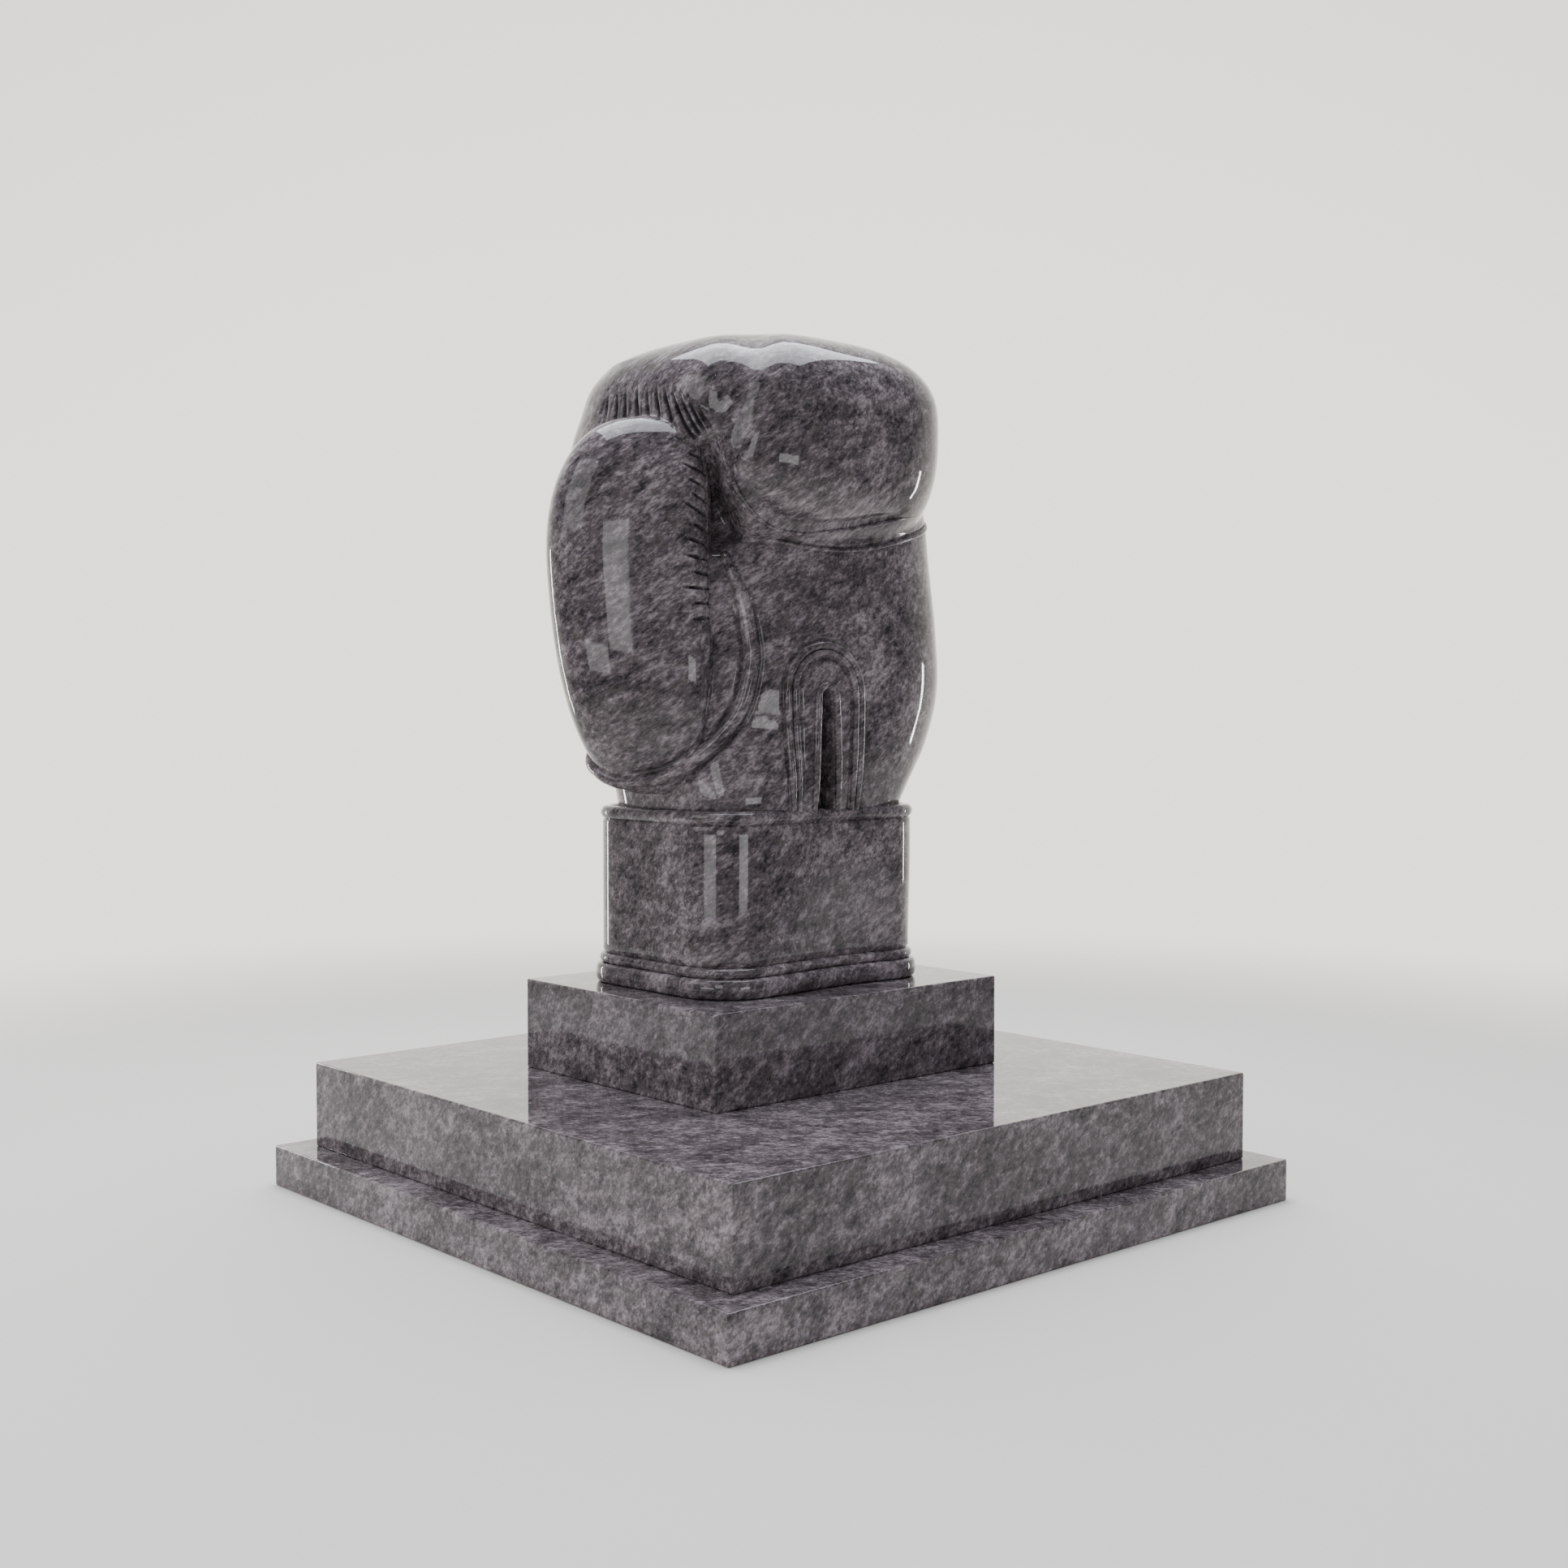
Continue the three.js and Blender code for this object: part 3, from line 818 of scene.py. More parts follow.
    def __post_init__(self) -> None:
        """Lay out the carved lines on the plain forms."""
        self.pinch = self.near_corner(*self.pinch_spot)
        grooves = self.piping_grooves()
        self.hand_lines = self.cleft() + self.palm_lines() + grooves
        self.knuckle_lines = self.knuckle_gathers() + self.pinch_lines()
        self.thumb_lines = self.thumb_gathers() + grooves

    @staticmethod
    def sunk(distance: np.ndarray, lines: list[CarvedLine], points: np.ndarray) -> np.ndarray:
        """Sink a form's skin along carved lines.

        Args:
            distance: Distances to the form.
            lines: Lines carved into it.
            points: Rows of x, y and z.

        Returns:
            Distances to the sunk form.
        """
        for line in lines:
            distance = distance + line.offset(points)
        return distance

    def carved(self, points: np.ndarray) -> np.ndarray:
        """Distance to the carved skin.

        Args:
            points: Rows of x, y and z.

        Returns:
            One distance a row, negative inside.
        """
        hand = self.sunk(self.hand.distance(points), self.hand_lines, points)
        knuckles = self.sunk(self.roll(points), self.knuckle_lines, points)
        thumb = self.sunk(self.thumb.distance(points), self.thumb_lines, points)
        wider = (self.back_fillet - self.fold_fillet) * smooth_step(*self.back_fillet_span, points[:, 1])
        from_pinch = np.linalg.norm(points - self.pinch, axis=1)
        tuck = self.thumb_fillet + self.pinch_fillet * np.exp(-(from_pinch / self.pinch_reach) ** 2)
        skin = blend_join(blend_join(hand, knuckles, self.fold_fillet + wider), thumb, tuck)
        slot = self.lace.slot_distance(points, self.hand.palm[3])
        return -blend_join(-skin, slot, self.slot_edge)

    def roll(self, points: np.ndarray) -> np.ndarray:
        """Distance to the knuckles, with the end of the finger roll cut back on a slant up to the pinch.

        Args:
            points: Rows of x, y and z.

        Returns:
            One distance a row, negative inside.
        """
        turn, slant = math.radians(self.thumb.turn), math.radians(self.roll_end_slope)
        end, top = self.roll_end
        across = points[:, 0] * math.cos(turn) + points[:, 1] * math.sin(turn)
        near = points[:, 0] * math.sin(turn) - points[:, 1] * math.cos(turn)
        beyond = (end - across) * math.sin(slant) + (top - points[:, 2]) * math.cos(slant)
        beyond = beyond + self.roll_end_tilt * (near - self.roll_end_front)
        under = top - self.roll_end_brow - points[:, 2]
        cut = np.minimum(np.minimum(beyond, under), near - self.roll_end_depth)
        return -blend_join(-self.knuckles.distance(points), -cut, self.roll_end_round)

    def thumb_and_hand(self, points: np.ndarray) -> np.ndarray:
        """Distance to the thumb and the hand together, without finer carving."""
        return np.minimum(self.plain_hand(points), self.thumb.distance(points))

    def plain_hand(self, points: np.ndarray) -> np.ndarray:
        """Distance to the hand with the cleft beside the thumb, without finer carving."""
        return self.sunk(self.hand.distance(points), self.cleft(), points)

    @staticmethod
    def onto(form: Field, start: np.ndarray, way: np.ndarray, reach: float) -> np.ndarray:
        """First point of a form met from outside.

        Args:
            form: Distance to the form.
            start: Points outside it, one a row.
            way: Directions to go in, one a row or one for all.
            reach: Furthest to go.

        Returns:
            The points met, one a row.
        """
        gone = np.zeros(len(start))
        for _ in range(CAST_STEPS):
            distance = form(start + gone[:, None] * way)
            gone = np.minimum(gone + CAST_SHARE * np.maximum(distance, 0.0), reach)
        return start + gone[:, None] * way

    def round_axis(self, line: Line) -> np.ndarray:
        """Lay a line on the hand by degrees round it and heights.

        Args:
            line: Degrees with their heights.

        Returns:
            Points on the hand, one a row.
        """
        angle = np.radians([entry[0] for entry in line])
        height = np.array([entry[1] for entry in line])
        out = np.stack([np.cos(angle), np.sin(angle), np.zeros(len(line))], axis=1)
        start = out * self.round_start + np.stack([0 * height, 0 * height, height], axis=1)
        return self.onto(self.plain_hand, start, -out, self.round_start)

    def on_palm(self, line: Line) -> np.ndarray:
        """Lay a line on the palm by places across it and heights."""
        start = np.array([(x, -self.palm_start, height) for x, height in line])
        return self.onto(self.plain_hand, start, np.array([0.0, 1.0, 0.0]), self.palm_start)

    def near_corner(self, across: float, near: float, height: float) -> np.ndarray:
        """Point by its place across the view of the thumb's corner, its nearness and its height.

        Args:
            across: Place across the view.
            near: Distance from the middle towards the viewer.
            height: Height.

        Returns:
            The point.
        """
        turn = math.radians(self.thumb.turn)
        cos, sin = math.cos(turn), math.sin(turn)
        return np.array([across * cos + near * sin, across * sin - near * cos, height])

    def from_near_corner(self, form: Field, line: Line) -> np.ndarray:
        """Lay a line on a form as seen from the thumb's corner, by places across that view and heights."""
        start = np.array([self.near_corner(across, self.corner_start, height) for across, height in line])
        return self.onto(form, start, -self.near_corner(0.0, 1.0, 0.0), self.corner_reach)

    @staticmethod
    def inward(form: Field, points: np.ndarray) -> np.ndarray:
        """Direction into a form, taken as the mean along a line on it."""
        slope = np.array([(form(points + shift) - form(points - shift)).mean() for shift in np.eye(3)])
        return -slope / np.linalg.norm(slope)

    def gathered(self, form: Field, points: np.ndarray, slit: Chisel, pucker: Chisel) -> list[CarvedLine]:
        """Cut a gather: a slit with a softer hollow round it.

        Args:
            form: Distance to the form that is cut.
            points: Points along the gather.
            slit: How the slit is cut.
            pucker: How the hollow is cut.

        Returns:
            The slit and the hollow.
        """
        into = self.inward(form, points)
        return [CarvedLine(points, slit, into), CarvedLine(points, pucker, into)]

    def cleft(self) -> list[CarvedLine]:
        """Hollow in the palm along the thumb's inner edge.

        Returns:
            The hollow, as the only line.
        """
        path = eased(np.array([self.near_corner(*spot) for spot in self.cleft_spots]), steps=3)
        return [CarvedLine(path, self.cleft_hollow)]

    def piping_grooves(self) -> list[CarvedLine]:
        """Grooves on both sides of the piping round the thumb.

        Returns:
            The two grooves.
        """
        route = np.array(self.piping[1:], dtype=float)
        way = np.gradient(route, axis=0)
        side = np.stack([way[:, 1], -way[:, 0]], axis=1) / np.linalg.norm(way, axis=1, keepdims=True)
        lines = []
        for sign in (-1.0, 1.0):
            beside = route + sign * self.piping_half * side
            points = self.from_near_corner(self.thumb_and_hand, beside[1:])
            lines.append(CarvedLine(eased(points, steps=4), self.piping_groove))
        return lines

    def piping_path(self) -> np.ndarray:
        """Path of the piping, down the palm side of the thumb, under it and up its outer side.

        Returns:
            Points along the path, one a row.
        """
        front = self.from_near_corner(self.thumb_and_hand, self.piping)
        under = [self.thumb.skin(height, angle) for height, angle in self.piping_under]
        angles = np.arange(*self.piping_sweep)
        outer = []
        for height in self.piping_outer:
            ring = self.round_axis([(angle, height) for angle in angles])
            outside = np.nonzero((self.thumb.distance(ring) > 0.0) & (angles < self.piping_behind))[0]
            outer.append(ring[outside[0]])
        return eased(np.concatenate([front, np.array(under), np.array(outer)]))

    def thumb_gathers(self) -> list[CarvedLine]:
        """Seam down the thumb's inner edge and the gathers drawn in along it.

        Returns:
            The seam and the gathers.
        """
        edge = np.array(self.thumb_edge)
        form = self.thumb.distance
        seam = self.from_near_corner(form, self.thumb_edge)
        lines = [CarvedLine(eased(seam), self.seam_slit, self.inward(form, seam))]
        for k in range(self.gather_count):
            share = k / (self.gather_count - 1)
            height = self.gather_top - self.gather_drop * share
            across = float(np.interp(-height, -edge[:, 1], edge[:, 0]))
            length = self.gather_length + self.gather_vary * math.sin(self.gather_beat * k)
            slope = math.radians(float(np.interp(share, self.gather_shares, self.gather_slopes)))
            gone = [length * step / self.gather_steps for step in range(self.gather_steps + 1)]
            line = [(across - run * math.cos(slope), height + run * math.sin(slope)) for run in gone]
            lines += self.gathered(form, self.from_near_corner(form, line), self.thumb_slit, self.thumb_pucker)
        return lines

    def knuckle_gathers(self) -> list[CarvedLine]:
        """Gathers on the thumb side of the knuckles, drawn down to the pinch.

        Returns:
            The gathers.
        """
        form = self.knuckles.distance
        foot = self.knuckle_foot
        lines = []
        for k, ((top_y, top), foot_y) in enumerate(zip(self.knuckle_tops, self.knuckle_feet)):
            start = []
            for j in range(self.knuckle_steps + 1):
                across = foot_y + (top_y - foot_y) * (j / self.knuckle_steps) ** self.knuckle_sweep
                start.append((-self.side_start, across, foot + (top - foot) * j / self.knuckle_steps))
            points = self.onto(form, np.array(start), np.array([1.0, 0.0, 0.0]), self.side_start)
            fade = self.knuckle_slit.fade_end + self.knuckle_vary * math.sin(self.knuckle_beat * k)
            slit = replace(self.knuckle_slit, fade_end=fade)
            lines += self.gathered(form, points, slit, self.knuckle_pucker)
        return lines

    def pinch_lines(self) -> list[CarvedLine]:
        """Creases and pit at the pinch beside the thumb's tip, the roll's fold and the valley over the top.

        Returns:
            The lines, all cut into the knuckles.
        """
        form = self.knuckles.distance
        lines = []
        for crease in self.star:
            points = eased(self.from_near_corner(form, crease), steps=4)
            lines += self.gathered(form, points, self.star_slit, self.star_pucker)
        fold = eased(self.from_near_corner(self.roll, self.roll_fold), steps=5)
        lines += [CarvedLine(fold, self.fold_crease), CarvedLine(fold, self.fold_hollow)]
        lines.append(CarvedLine(self.from_near_corner(form, self.pit_route), self.pit))
        front = self.from_near_corner(form, self.valley_front)
        over = np.array([self.near_corner(*spot) for spot in self.valley_over])
        top = self.onto(form, over, np.array([0.0, 0.0, -1.0]), self.palm_start)
        lines.append(CarvedLine(eased(np.concatenate([front, top])), self.valley))
        return lines

    def palm_lines(self) -> list[CarvedLine]:
        """Grooves beside the welts under the finger roll and round the lace opening.

        Returns:
            The grooves.
        """
        lines = [CarvedLine(self.round_axis(self.welt_line(self.welt_groove_raised)), self.welt_groove)]
        for inset in self.arch_groove_insets:
            lines.append(CarvedLine(self.on_palm(self.lace.arch(inset)), self.arch_groove))
        return lines

    def welt_line(self, raised: float) -> Line:
        """Line of the thin welt across the palm, by degrees round the hand and heights.

        Args:
            raised: Height above the welt.

        Returns:
            The line from the thumb to the little finger's side.
        """
        low = self.welt_low
        rise = self.welt_rise
        angles = np.linspace(*self.welt_ends, self.welt_steps)
        return [(angle, low + rise * (angle - self.welt_middle) ** 2 + raised) for angle in angles]

    def plain_mesh(self, grid: float) -> tuple[np.ndarray, np.ndarray]:
        """Net of the skin on an even grid.

        Args:
            grid: Spacing of the grid.

        Returns:
            Points and four-sided faces.
        """
        axes = [np.arange(low, high, grid) for low, high in zip(self.low_corner, self.high_corner)]
        shape = tuple(len(axis) for axis in axes)
        points = np.stack(np.meshgrid(*axes, indexing="ij"), axis=-1).reshape(-1, 3)
        value = self.carved(points).reshape(shape)
        inside = value < 0
        cells = tuple(length - 1 for length in shape)
        total = np.zeros(cells + (3,))
        count = np.zeros(cells)
        for axis in range(3):
            for first in (0, 1):
                for second in (0, 1):
                    corner = [slice(0, n) for n in cells]
                    others = [k for k in range(3) if k != axis]
                    corner[others[0]] = slice(first, first + cells[others[0]])
                    corner[others[1]] = slice(second, second + cells[others[1]])
                    far = list(corner)
                    far[axis] = slice(1, 1 + cells[axis])
                    a, b = value[tuple(corner)], value[tuple(far)]
                    crossed = (a < 0) != (b < 0)
                    share = np.where(crossed, a / np.where(crossed, a - b, 1.0), 0.0)
                    spot = [0.0, 0.0, 0.0]
                    spot[others[0]], spot[others[1]] = float(first), float(second)
                    for k in range(3):
                        total[..., k] += np.where(crossed, share if k == axis else spot[k], 0.0)
                    count += crossed
        used = count > 0
        index = np.full(cells, -1)
        index[used] = np.arange(used.sum())
        base = np.stack(np.meshgrid(*[axis[:-1] for axis in axes], indexing="ij"), axis=-1)
        net = base[used] + grid * total[used] / count[used][:, None]
        faces = []
        for axis in range(3):
            u, v = (axis + 1) % 3, (axis + 2) % 3
            near = [slice(None)] * 3
            near[axis] = slice(0, shape[axis] - 1)
            far = [slice(None)] * 3
            far[axis] = slice(1, shape[axis])
            start, end = inside[tuple(near)], inside[tuple(far)]
            for outward in (True, False):
                spots = np.argwhere((start & ~end) if outward else (~start & end))
                ring = []
                for du, dv in ((-1, -1), (0, -1), (0, 0), (-1, 0)):
                    cell = spots.copy()
                    cell[:, u] += du
                    cell[:, v] += dv
                    ring.append(index[cell[:, 0], cell[:, 1], cell[:, 2]])
                quad = np.stack(ring, axis=1)
                faces.append(quad if outward else quad[:, ::-1])
        return net, np.concatenate(faces)

    def slope(self, points: np.ndarray, step: float = 0.35) -> np.ndarray:
        """Gradient of the carved distance at points.

        Args:
            points: Rows of x, y and z.
            step: Distance over which it is measured.

        Returns:
            One gradient a row.
        """
        slope = np.empty_like(points)
        for axis in range(3):
            shift = np.zeros(3)
            shift[axis] = step
            slope[:, axis] = (self.carved(points + shift) - self.carved(points - shift)) / (2.0 * step)
        return slope

    def settle(self, points: np.ndarray, rounds: int) -> np.ndarray:
        """Move points onto the carved skin.

        Args:
            points: Rows of x, y and z near the skin.
            rounds: Newton steps to take.

        Returns:
            The moved points.
        """
        for _ in range(rounds):
            slope = self.slope(points)
            size = np.maximum((slope * slope).sum(axis=1), self.least_slope)
            move = -(self.carved(points) / size)[:, None] * slope
            length = np.linalg.norm(move, axis=1, keepdims=True)
            points = points + move * np.minimum(1.0, self.longest_move / np.maximum(length, TINY))
        return points

    def build(self, place: Point) -> bpy.types.Object:
        """Make the carved mesh.

        Args:
            place: Where the glove stands, in millimetres.

        Returns:
            The glove's object.
        """
        net, faces = self.plain_mesh(self.grid)
        shape = bmesh.new()
        vertices = [shape.verts.new(point) for point in net]
        for face in faces:
            shape.faces.new([vertices[k] for k in face])
        bmesh.ops.triangulate(shape, faces=shape.faces[:])
        self.move(shape, rounds=3)
        for limit in self.refine_turns:
            self.refine(shape, limit)
            self.move(shape, rounds=2)
        points = np.array([vertex.co for vertex in shape.verts])
        for vertex, point in zip(shape.verts, (points + np.array(place)) * MM):
            vertex.co = point
        mesh = bpy.data.meshes.new("glove_hand")
        shape.to_mesh(mesh)
        shape.free()
        # Depth in the narrow cuts, for the painted shade and the matt there.
        cut = mesh.attributes.new(CARVED, "FLOAT", "POINT")
        cut.data.foreach_set("value", self.cut_share(points).astype(np.float32))
        mesh.polygons.foreach_set("use_smooth", np.ones(len(mesh.polygons), dtype=bool))
        return in_scene(mesh)

    def cut_share(self, points: np.ndarray) -> np.ndarray:
        """How far into a narrow cut each point lies, from 0 on the open skin to 1 at the bottom, which sets
        the painted shade and the matt in the cuts.

        Args:
            points: Rows of x, y and z on the carved skin.

        Returns:
            One share a row.
        """
        share = np.zeros(len(points))
        forms = (self.plain_hand, self.roll, self.thumb.distance)
        for form, lines in zip(forms, (self.hand_lines, self.knuckle_lines, self.thumb_lines)):
            sunk = smooth_step(*self.shade_depths, -form(points))
            for line in lines:
                if line.chisel.width < self.narrow:
                    strength = 1.0 if line.chisel.cut is Cut.SLIT else self.groove_shade
                    share = np.maximum(share, strength * sunk * line.offset(points) / line.chisel.depth)
        return share

    def move(self, shape: bmesh.types.BMesh, rounds: int) -> None:
        """Settle a mesh's points onto the carved skin.

        Args:
            shape: Mesh to move.
            rounds: Newton steps to take.
        """
        points = self.settle(np.array([vertex.co for vertex in shape.verts]), rounds)
        for vertex, point in zip(shape.verts, points):
            vertex.co = point

    def refine(self, shape: bmesh.types.BMesh, limit: float) -> None:
        """Split the edges over which the skin turns.

        Args:
            shape: Mesh to refine.
            limit: Cosine of the turn from which an edge is split.
        """
        shape.verts.index_update()
        points = np.array([vertex.co for vertex in shape.verts])
        normals = self.slope(points)
        normals /= np.maximum(np.linalg.norm(normals, axis=1, keepdims=True), TINY)
        ends = np.array([(edge.verts[0].index, edge.verts[1].index) for edge in shape.edges])
        turned = (normals[ends[:, 0]] * normals[ends[:, 1]]).sum(axis=1) < limit
        middle = (points[ends[:, 0]] + points[ends[:, 1]]) / 2.0
        off = np.abs(self.carved(middle)) > self.refine_off
        length = np.linalg.norm(points[ends[:, 0]] - points[ends[:, 1]], axis=1)
        chosen = (turned | off) & (length > self.shortest_edge)
        for line in self.hand_lines + self.knuckle_lines + self.thumb_lines:
            if line.chisel.width < self.narrow:
                chosen |= line.wants_finer(middle, length)
        edges = [edge for edge, wanted in zip(shape.edges, chosen) if wanted]
        bmesh.ops.subdivide_edges(shape, edges=edges, cuts=1, use_grid_fill=False)
        bmesh.ops.triangulate(shape, faces=[face for face in shape.faces if len(face.verts) > 3])


@dataclass(frozen=True)
class Cuff:
    """The cuff: a rounded rectangle with a shallow dip in its palm face, in millimetres."""

    half_width: float = 175.0
    half_depth: float = 136.5
    corner: float = 63.0
    foot: float = 25.0
    foot_proud: float = 9.0
    foot_tuck: float = 2.0
    foot_power: float = 0.6
    foot_steps: int = 12
    lower_groove: Line = ((-4.0, 25.5), (-4.0, 36.0), (-1.2, 39.2))
    wall_span: tuple[float, float] = (41.5, 203.0)
    wall_steps: int = 20
    upper_groove: Line = ((-1.2, 205.0), (-4.0, 207.0), (-4.0, 219.0))
    dent: float = 14.0
    dent_middle: float = 40.0
    dent_spread: float = 95.0
    dent_full: float = 40.0
    dent_gone: float = 170.0
    corner_steps: int = 16
    side_steps: int = 24

    def ring(self, proud: float, height: float) -> np.ndarray:
        """Outline at a height, pushed out from the wall.

        Args:
            proud: Distance out from the wall.
            height: Height of the outline.

        Returns:
            Points round the cuff, one a row.
        """
        across, through = self.half_width - self.corner, self.half_depth - self.corner
        radius = self.corner + proud
        fade = 1.0 - float(smooth_step(self.dent_full, self.dent_gone, np.array(height)))
        corners = ((1, -1, -90), (1, 1, 0), (-1, 1, 90), (-1, -1, 180))
        points = []
        for side, (sign_x, sign_y, start) in enumerate(corners):
            for step in range(self.corner_steps + 1):
                angle = math.radians(start + 90.0 * step / self.corner_steps)
                points.append((sign_x * across + radius * math.cos(angle),
                               sign_y * through + radius * math.sin(angle)))
            last = np.array(points[-1])
            turn = corners[(side + 1) % 4]
            begin = math.radians(turn[2])
            goal = np.array((turn[0] * across + radius * math.cos(begin),
                             turn[1] * through + radius * math.sin(begin)))
            for step in range(1, self.side_steps):
                points.append(tuple(last + (goal - last) * step / self.side_steps))
        outline = np.array(points)
        palm = outline[:, 1] < 0
        dip = self.dent * fade * np.exp(-((outline[:, 0] - self.dent_middle) / self.dent_spread) ** 2)
        outline[palm, 1] += dip[palm]
        return np.column_stack([outline, np.full(len(outline), height)])

    def profile(self) -> list[tuple[float, float]]:
        """Distances out from the wall with their heights, from the foot up to the brim.

        Returns:
            The profile, from below.
        """
        line = []
        for step in range(self.foot_steps + 1):
            angle = math.radians(-90.0 + 180.0 * step / self.foot_steps)
            out = abs(math.cos(angle)) ** self.foot_power
            rise = math.copysign(abs(math.sin(angle)) ** self.foot_power, math.sin(angle))
            proud = (self.foot_proud + self.foot_tuck) * out - self.foot_tuck
            line.append((proud, 0.5 * self.foot * (1.0 + rise)))
        line += self.lower_groove
        low, high = self.wall_span
        line += [(0.0, low + (high - low) * k / self.wall_steps) for k in range(self.wall_steps + 1)]
        return line + list(self.upper_groove)

    def wall(self, place: Point) -> bpy.types.Object:
        """Make the wall between the mouldings.

        Args:
            place: Where the glove stands, in millimetres.

        Returns:
            The wall's object.
        """
        rings = [self.ring(proud, height) for proud, height in self.profile()]
        around = len(rings[0])
        points = (np.concatenate(rings) + np.array(place)) * MM
        faces: list[tuple[int, ...]] = []
        for level in range(len(rings) - 1):
            for step in range(around):
                ahead = (step + 1) % around
                low, high = level * around, (level + 1) * around
                faces.append((low + step, low + ahead, high + ahead, high + step))
        faces.append(tuple(reversed(range(around))))
        top = (len(rings) - 1) * around
        faces.append(tuple(range(top, top + around)))
        mesh = bpy.data.meshes.new("glove_cuff")
        mesh.from_pydata(points.tolist(), [], faces)
        for face in mesh.polygons:
            face.use_smooth = len(face.vertices) == 4
        return in_scene(mesh)


@dataclass(frozen=True)
class Run:
    """A rounded moulding along a path."""

    path: np.ndarray
    radius: float
    closed: bool = False


@dataclass(frozen=True)
class RoundMoulding:
    """Rounded beads, welts and piping swept along their paths with Geometry Nodes, in millimetres.

    Sections stand a step apart and have so many sides. An open run grows to its full size over the taper, a
    share of its length, at each end.
    """

    name: str
    runs: list[Run]
    step: float
    sides: int
    taper: float
    end_size: float = 0.02

    def paths(self) -> bpy.types.Object:
        """Make the paths as one curve object.

        Returns:
            The curve object.
        """
        curve = bpy.data.curves.new(f"{self.name}_paths", "CURVE")
        curve.dimensions = "3D"
        for run in self.runs:
            spline = curve.splines.new("POLY")
            spline.points.add(len(run.path) - 1)
            for point, place in zip(spline.points, run.path):
                point.co = (*(place * MM), 1.0)
                point.radius = run.radius * MM
            spline.use_cyclic_u = run.closed
        holder = bpy.data.objects.new(f"{self.name}_paths", curve)
        bpy.context.collection.objects.link(holder)
        return holder

    def tree(self, material: bpy.types.Material) -> bpy.types.NodeTree:
        """Build the sweeping tree.

        Args:
            material: Finish of the swept mouldings.

        Returns:
            The tree, with its sizes as named inputs.
        """
        tree = bpy.data.node_groups.new(f"{self.name}_sweep", "GeometryNodeTree")
        kinds = {"Paths": "NodeSocketGeometry", "Step": "NodeSocketFloat", "Sides": "NodeSocketInt",
                 "Taper": "NodeSocketFloat"}
        for name, kind in kinds.items():
            tree.interface.new_socket(name, in_out="INPUT", socket_type=kind)
        tree.interface.new_socket("Mouldings", in_out="OUTPUT", socket_type="NodeSocketGeometry")
        wiring = Wiring(tree)
        given = wiring.nodes.new("NodeGroupInput").outputs
        resample = wiring.nodes.new("GeometryNodeResampleCurve")
        resample.mode = "LENGTH"
        wiring.feed(resample, {"Curve": given["Paths"], "Length": given["Step"]})
        radius = wiring.source("GeometryNodeInputRadius", "Radius")
        share = wiring.source("GeometryNodeSplineParameter", "Factor")
        closed = wiring.source("GeometryNodeInputSplineCyclic", "Cyclic")
        nearest = wiring.math("MINIMUM", share, wiring.math("SUBTRACT", 1.0, share))
        whole = wiring.math("MAXIMUM", wiring.math("DIVIDE", nearest, given["Taper"]), closed)
        size = wiring.math("MAXIMUM", wiring.math("MINIMUM", whole, 1.0), self.end_size)
        scale = wiring.math("MULTIPLY", wiring.math("SQRT", size), radius)
        section = wiring.add("GeometryNodeCurvePrimitiveCircle", {"Resolution": given["Sides"], "Radius": 1.0})
        sweep = wiring.add("GeometryNodeCurveToMesh", {
            "Curve": resample.outputs["Curve"],
            "Profile Curve": section.outputs["Curve"],
            "Scale": scale,
            "Fill Caps": True,
        })
        smooth = wiring.add("GeometryNodeSetShadeSmooth", {"Geometry": sweep.outputs["Mesh"]})
        real = wiring.add("GeometryNodeRealizeInstances", {"Geometry": smooth.outputs["Geometry"]})
        dress = wiring.add("GeometryNodeSetMaterial", {
            "Geometry": real.outputs["Geometry"],
            "Material": material,
        })
        wiring.add("NodeGroupOutput", {"Mouldings": dress.outputs["Geometry"]})
        return tree

    def build(self, material: bpy.types.Material) -> bpy.types.Object:
        """Sweep the mouldings into a plain mesh.

        Args:
            material: Finish of the mouldings.

        Returns:
            The mouldings' object.
        """
        holder = self.paths()
        tree = self.tree(material)
        sweep = holder.modifiers.new("sweep", "NODES")
        sweep.node_group = tree
        sizes = {"Step": self.step * MM, "Sides": self.sides, "Taper": self.taper}
        for item in tree.interface.items_tree:
            if item.item_type == "SOCKET" and item.in_out == "INPUT" and item.name in sizes:
                sweep[item.identifier] = sizes[item.name]
        graph = bpy.context.evaluated_depsgraph_get()
        mesh = bpy.data.meshes.new_from_object(holder.evaluated_get(graph))
        mesh.name = self.name
        holder.modifiers.remove(sweep)
        bpy.data.objects.remove(holder)
        return in_scene(mesh)


@dataclass(frozen=True)
class StripLight:
    """A soft studio light aimed at a point, in metres."""

    name: str
    place: Point
    width: float
    height: float
    watts: float
    aim: Point = (0.0, 0.0, 0.70)
    colour: Colour = (1.0, 1.0, 1.0)

    def build(self) -> None:
        """Hang the light."""
        lamp = bpy.data.lights.new(self.name, "AREA")
        lamp.shape = "RECTANGLE"
        lamp.size = self.width
        lamp.size_y = self.height
        lamp.energy = self.watts
        lamp.color = self.colour
        holder = bpy.data.objects.new(self.name, lamp)
        holder.location = self.place
        way = Vector(self.aim) - Vector(self.place)
        holder.rotation_euler = way.to_track_quat("-Z", "Y").to_euler()
        bpy.context.collection.objects.link(holder)


